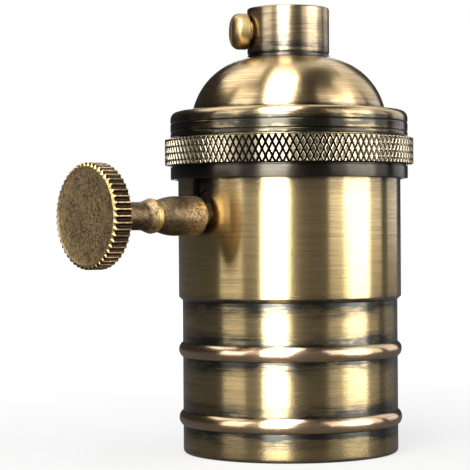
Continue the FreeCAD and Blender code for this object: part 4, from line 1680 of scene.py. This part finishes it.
@dataclass(frozen=True)
class Softbox:
    """One soft lamp, placed by the direction that it shines from.

    Its bearing, counted from the camera's, and its elevation are in degrees. Its strength sets how bright
    its face is, whatever its size.
    """

    name: str
    bearing: float
    elevation: float
    width: float
    height: float
    strength: float
    distance: float = 0.7

    def build(self, centre: Vector, front: float) -> bpy.types.Object:
        """Builds the lamp.

        Args:
            centre: The point that it faces.
            front: The camera's bearing in degrees, which the lamp's bearing counts from.

        Returns:
            The lamp's object.
        """
        data = bpy.data.lights.new(self.name, "AREA")
        data.shape = "RECTANGLE"
        data.size, data.size_y = self.width, self.height
        data.energy = self.strength * math.pi * self.width * self.height
        lamp = bpy.data.objects.new(self.name, data)
        lamp.visible_camera = False
        turn, rise = math.radians(front + self.bearing), math.radians(self.elevation)
        away = Vector((math.sin(turn) * math.cos(rise), -math.cos(turn) * math.cos(rise), math.sin(rise)))
        lamp.location = centre + away * self.distance
        lamp.rotation_euler = away.to_track_quat("Z", "Y").to_euler()
        bpy.context.scene.collection.objects.link(lamp)
        return lamp


@dataclass
class Studio:
    """The camera, the lamps, the pale floor and the white surroundings.

    The metal mirrors the floor and the backdrop too, but dimmed, so that its edges stay dark against the
    white. Bearings and angles are in degrees, and the camera's bearing is counted from the front.
    """

    bearing: float = -40.8
    distance: float = 0.3047
    eye_height: float = 36.4 * MM
    aim_left: float = 8.8 * MM
    aim_height: float = 34.9 * MM
    roll: float = -0.39
    view_angle: float = 14.2
    surround: Colour = (0.035, 0.034, 0.033)
    mirrored_backdrop: Colour = (0.04, 0.039, 0.038)
    mirrored_floor: float = 0.13
    floor_size: float = 6.0
    floor_sink: float = 0.02 * MM
    floor_colour: Colour = (0.06, 0.06, 0.06)
    shadow_colour: Colour = (0.08, 0.08, 0.08)
    floor_near: Point = (0.03, 0.72)
    floor_far: Point = (0.35, 1.0)
    softboxes: tuple[Softbox, ...] = (
        Softbox("left_strip", -61.5, 18.0, 0.34, 0.8, 3.2),
        Softbox("left_near", -40.0, 18.0, 0.16, 0.8, 0.5),
        Softbox("main_front", -13.7, 32.0, 0.355, 1.80, 15.0),
        Softbox("main_low", -15.0, -14.0, 0.045, 0.05, 7.0, distance=0.11),
        Softbox("front_fill", 20.0, 12.0, 0.40, 0.8, 0.12),
        Softbox("ceiling", 165.0, 76.0, 0.24, 1.3, 0.7),
        Softbox("top_left", -115.0, 56.0, 0.4, 0.4, 2.4),
        Softbox("right_near", 50.0, 14.0, 0.24, 0.8, 2.0),
        Softbox("right_strip", 73.0, 9.0, 0.40, 0.7, 6.2),
        Softbox("right_low", 70.0, -14.0, 0.045, 0.05, 3.0, distance=0.11),
        Softbox("right_side", 96.0, 20.0, 0.30, 1.0, 1.5),
        Softbox("right_rear", 132.0, 25.0, 0.35, 0.7, 1.1),
        Softbox("rear_strip", 180.0, 8.0, 0.2, 0.5, 2.0),
        Softbox("rear_top", 180.0, 52.0, 0.7, 0.4, 0.6),
    )

    def rim(self) -> Vector:
        """The centre of the holder's open rim, which it stands on."""
        return Vector((0.0, 0.0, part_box("outer_shell")[0].z))

    def build_camera(self) -> bpy.types.Object:
        """Builds the camera and makes it the scene's own.

        Returns:
            The camera's object.
        """
        turn = math.radians(self.bearing)
        away = Vector((math.sin(turn), -math.cos(turn), 0.0))
        right = Vector((math.cos(turn), math.sin(turn), 0.0))
        rim = self.rim()
        eye = rim + away * self.distance + Vector((0.0, 0.0, self.eye_height))
        aim = rim - right * self.aim_left + Vector((0.0, 0.0, self.aim_height))
        data = bpy.data.cameras.new("camera")
        data.sensor_width = 36.0
        data.angle = math.radians(self.view_angle)
        data.clip_start, data.clip_end = 0.01, 20.0
        camera = bpy.data.objects.new("camera", data)
        look = (aim - eye).to_track_quat("-Z", "Y").to_matrix().to_4x4()
        roll = Matrix.Rotation(math.radians(self.roll), 4, "Z")
        camera.matrix_world = Matrix.Translation(eye) @ look @ roll
        bpy.context.scene.collection.objects.link(camera)
        bpy.context.scene.camera = camera
        return camera

    def build_world(self) -> None:
        """White surroundings for the camera, a dimmed backdrop for the metal, and dim light for the rest."""
        world = bpy.data.worlds.new("studio")
        world.use_nodes = True
        tree = world.node_tree
        background = tree.nodes["Background"]
        path = tree.nodes.new("ShaderNodeLightPath")
        room = tree.nodes.new("ShaderNodeRGB")
        room.outputs[0].default_value = (*self.surround, 1.0)
        colour = room.outputs[0]
        seen_by = (
            ("Is Glossy Ray", self.mirrored_backdrop),
            ("Is Transmission Ray", self.mirrored_backdrop),
            ("Is Camera Ray", (1.0, 1.0, 1.0)),
        )
        for ray, backdrop in seen_by:
            mix = tree.nodes.new("ShaderNodeMix")
            mix.data_type = "RGBA"
            tree.links.new(path.outputs[ray], mix.inputs[0])
            tree.links.new(colour, mix.inputs[6])
            mix.inputs[7].default_value = (*backdrop, 1.0)
            colour = mix.outputs[2]
        tree.links.new(colour, background.inputs["Color"])
        bpy.context.scene.world = world

    def build_floor(self) -> bpy.types.Object:
        """The pale floor that the holder stands on: nearly white to the camera, with a soft shadow.

        Returns:
            The floor's object.
        """
        mesh = bmesh.new()
        size = self.floor_size / 2
        under = Matrix.Translation(self.rim() - Vector((0.0, 0.0, self.floor_sink)))
        bmesh.ops.create_grid(mesh, x_segments=2, y_segments=2, size=size, matrix=under)
        data = bpy.data.meshes.new("floor")
        mesh.to_mesh(data)
        mesh.free()
        floor = bpy.data.objects.new("floor", data)
        bpy.context.scene.collection.objects.link(floor)
        shader = Shader("floor_paper")
        shader.finish(Base_Color=self.floor_colour, Roughness=0.9)
        path = shader.add("ShaderNodeLightPath")
        (near, near_glow), (far, far_glow) = self.floor_near, self.floor_far
        glow = shader.levels(shader.out(), near, far, near_glow, far_glow)
        white = shader.add("ShaderNodeEmission", {"Color": (1.0, 1.0, 1.0), "Strength": glow})
        paper = shader.add("ShaderNodeBsdfDiffuse", {"Color": self.shadow_colour})
        lit = shader.add("ShaderNodeAddShader", {0: white.outputs[0], 1: paper.outputs[0]})
        glossy, through = path.outputs["Is Glossy Ray"], path.outputs["Is Transmission Ray"]
        mirrored = shader.maths("MAXIMUM", glossy, through)
        inputs = {"Color": (1.0, 1.0, 1.0), "Strength": self.mirrored_floor}
        pale = shader.add("ShaderNodeEmission", inputs)
        dim = shader.add("ShaderNodeMixShader", {0: mirrored})
        shader.feed(dim.inputs[1], shader.surface.outputs[0])
        shader.feed(dim.inputs[2], pale.outputs[0])
        seen = shader.add("ShaderNodeMixShader", {0: path.outputs["Is Camera Ray"]})
        shader.feed(seen.inputs[1], dim.outputs[0])
        shader.feed(seen.inputs[2], lit.outputs[0])
        shader.feed(shader.tree.nodes["Material Output"].inputs["Surface"], seen.outputs[0])
        data.materials.append(shader.material)
        return floor

    def build(self) -> None:
        """Builds the whole studio."""
        bpy.context.scene.view_settings.view_transform = "Standard"
        self.build_camera()
        self.build_world()
        self.build_floor()
        centre = self.rim() + Vector((0.0, 0.0, self.aim_height))
        for softbox in self.softboxes:
            softbox.build(centre, self.bearing)
            log.info("lamp %s", softbox.name)


# ---------------------------------------------------------------------------
# The whole holder
# ---------------------------------------------------------------------------


def main() -> None:
    """Builds the holder's pieces, dresses the rest and sets up the studio."""
    logging.basicConfig(level=logging.INFO, format="%(name)s %(message)s")
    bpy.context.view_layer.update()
    screw = LockScrew()
    OuterShell().build()
    UnionRing().build()
    Cap().build(screw.axis())
    screw.build()
    Knob().build()
    ScrewShell().build()
    KeptNodes().dress(frame["nodes"])
    Studio().build()


if __name__ == "__main__":
    main()
